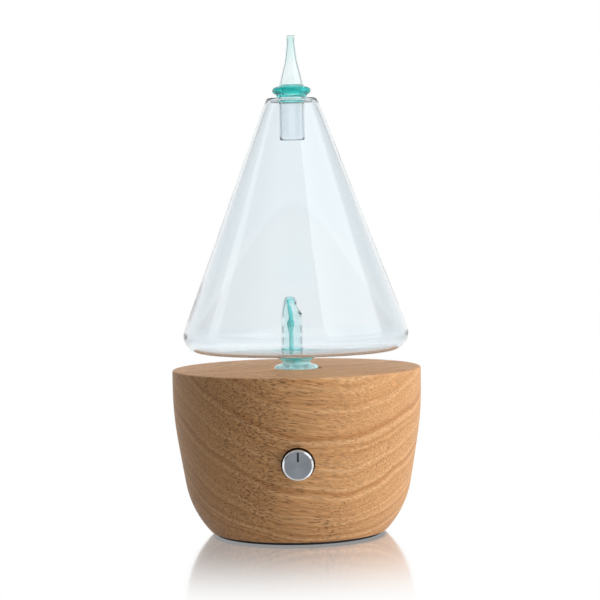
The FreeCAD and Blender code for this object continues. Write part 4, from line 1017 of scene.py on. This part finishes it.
pale_glass = blown_glass("pale_glass", CLEAR, pale_tints, WOOD_TOP + 6 * MM, WOOD_TOP + 31 * MM,
                         12 * MM, ((0, 0), (1, 0)))
finish_glass(shroud, pale_glass, "mist_shroud", "reservoir")

jet = turned("jet", [(r * MM, h * MM) for r, h in (
    (0.25, 30.1), (0.45, 29.9), (0.6, 28), (0.65, 25), (0.7, 22), (0.85, 21.1), (1.5, 20.6),
    (1.75, 19.8), (1.6, 18.4), (1.2, 17), (0.85, 15.8), (0.75, 15), (0.8, 14), (0.85, 11),
    (0.95, 8.9), (0.3, 8.85), (0.3, 14), (0.3, 15.8), (0.55, 16.8), (0.85, 18.3), (0.9, 19.5),
    (0.5, 20.4), (0.3, 21.1), (0.3, 25))], 32, 1)
make_mesh(jet)
lean_tip(jet, 20 * MM, 31 * MM, -1.1 * MM)
set_down(jet, NOZZLE_X - 0.5 * MM, 0, WOOD_TOP)
jet_tints = ((0, (0.2, 0.85, 0.84)), (0.45, (0.4, 0.92, 0.9)), (0.6, (0.08, 0.74, 0.72)),
             (1, (0.35, 0.9, 0.88)))
turquoise_glass = blown_glass("turquoise_glass", (0.3, 0.8, 0.8), jet_tints, WOOD_TOP + 6 * MM,
                              WOOD_TOP + 30 * MM, 12 * MM, ((0, 0.3), (1, 0.3)))
finish_glass(jet, turquoise_glass, "jet_tube", "reservoir")
nodes["oil_riser"].data.materials[0] = turquoise_glass
nodes["oil_riser"].visible_shadow = False

# Glass cap ---------------------------------------------------------------------------------
# One lamp-worked piece: a narrow chimney that lets the mist out, a solid turquoise bead that
# rests on the cone's mouth, and a clear stem that hangs inside. A pale band across the bead's
# lower part is a painted highlight.
cap = turned("chimney_cap", [(r * MM, h * MM) for r, h in (
    (1.4, 146.4), (1.7, 146.4), (1.9, 146.2), (1.8, 145.3), (1.8, 144), (2.2, 140.7), (2.55, 137.3),
    (3.1, 133.9), (4.1, 130.6), (5, 127.2), (5.35, 124.9), (5.4, 124.3), (6.3, 124.15),
    (7.4, 123.9), (8.3, 123.3), (8.68, 122.3), (8.4, 121.3), (7.6, 120.8), (7, 120.5), (6.6, 119.9),
    (6.2, 119.3), (5.85, 118.2), (5.6, 117.6), (5.55, 109), (5.55, 100.8), (5.4, 100.3),
    (4.95, 100.3), (4.75, 100.8), (4.75, 109), (4.75, 117.6), (4.7, 124.2), (4.2, 127.2),
    (3.3, 130.6), (2.4, 133.9), (1.85, 137.3), (1.5, 140.7), (1.15, 144), (1.15, 146.2))], 96, 1)
make_mesh(cap)
set_down(cap, 0, 0, WOOD_TOP)
stem_tint = (0.955, 0.975, 0.99)
bead_tint = (0.03, 0.6, 0.56)
band_tint = (0.25, 0.82, 0.78)
# A pale band painted across the lower part of the bead: a painted highlight, not a change in the glass.
bead_highlight_tint = (0.8, 0.98, 0.97)
chimney_tint = (0.95, 0.99, 0.985)
cap_tints = ((0, stem_tint), (0.383, stem_tint), (0.388, band_tint), (0.409, band_tint),
             (0.418, bead_highlight_tint), (0.434, bead_highlight_tint), (0.446, bead_tint), (0.512, bead_tint),
             (0.522, chimney_tint), (0.7, chimney_tint), (1, (0.8, 0.95, 0.93)))
cap_hazes = ((0, 0), (0.43, 0), (0.45, 0.2), (0.51, 0.2), (0.52, 0), (1, 0))
cap_glass = blown_glass("lamp_worked_glass", stem_tint, cap_tints, WOOD_TOP + 100 * MM,
                        WOOD_TOP + 147 * MM, 30 * MM, cap_hazes)
finish_glass(cap, cap_glass, "glass_cap", "cap")
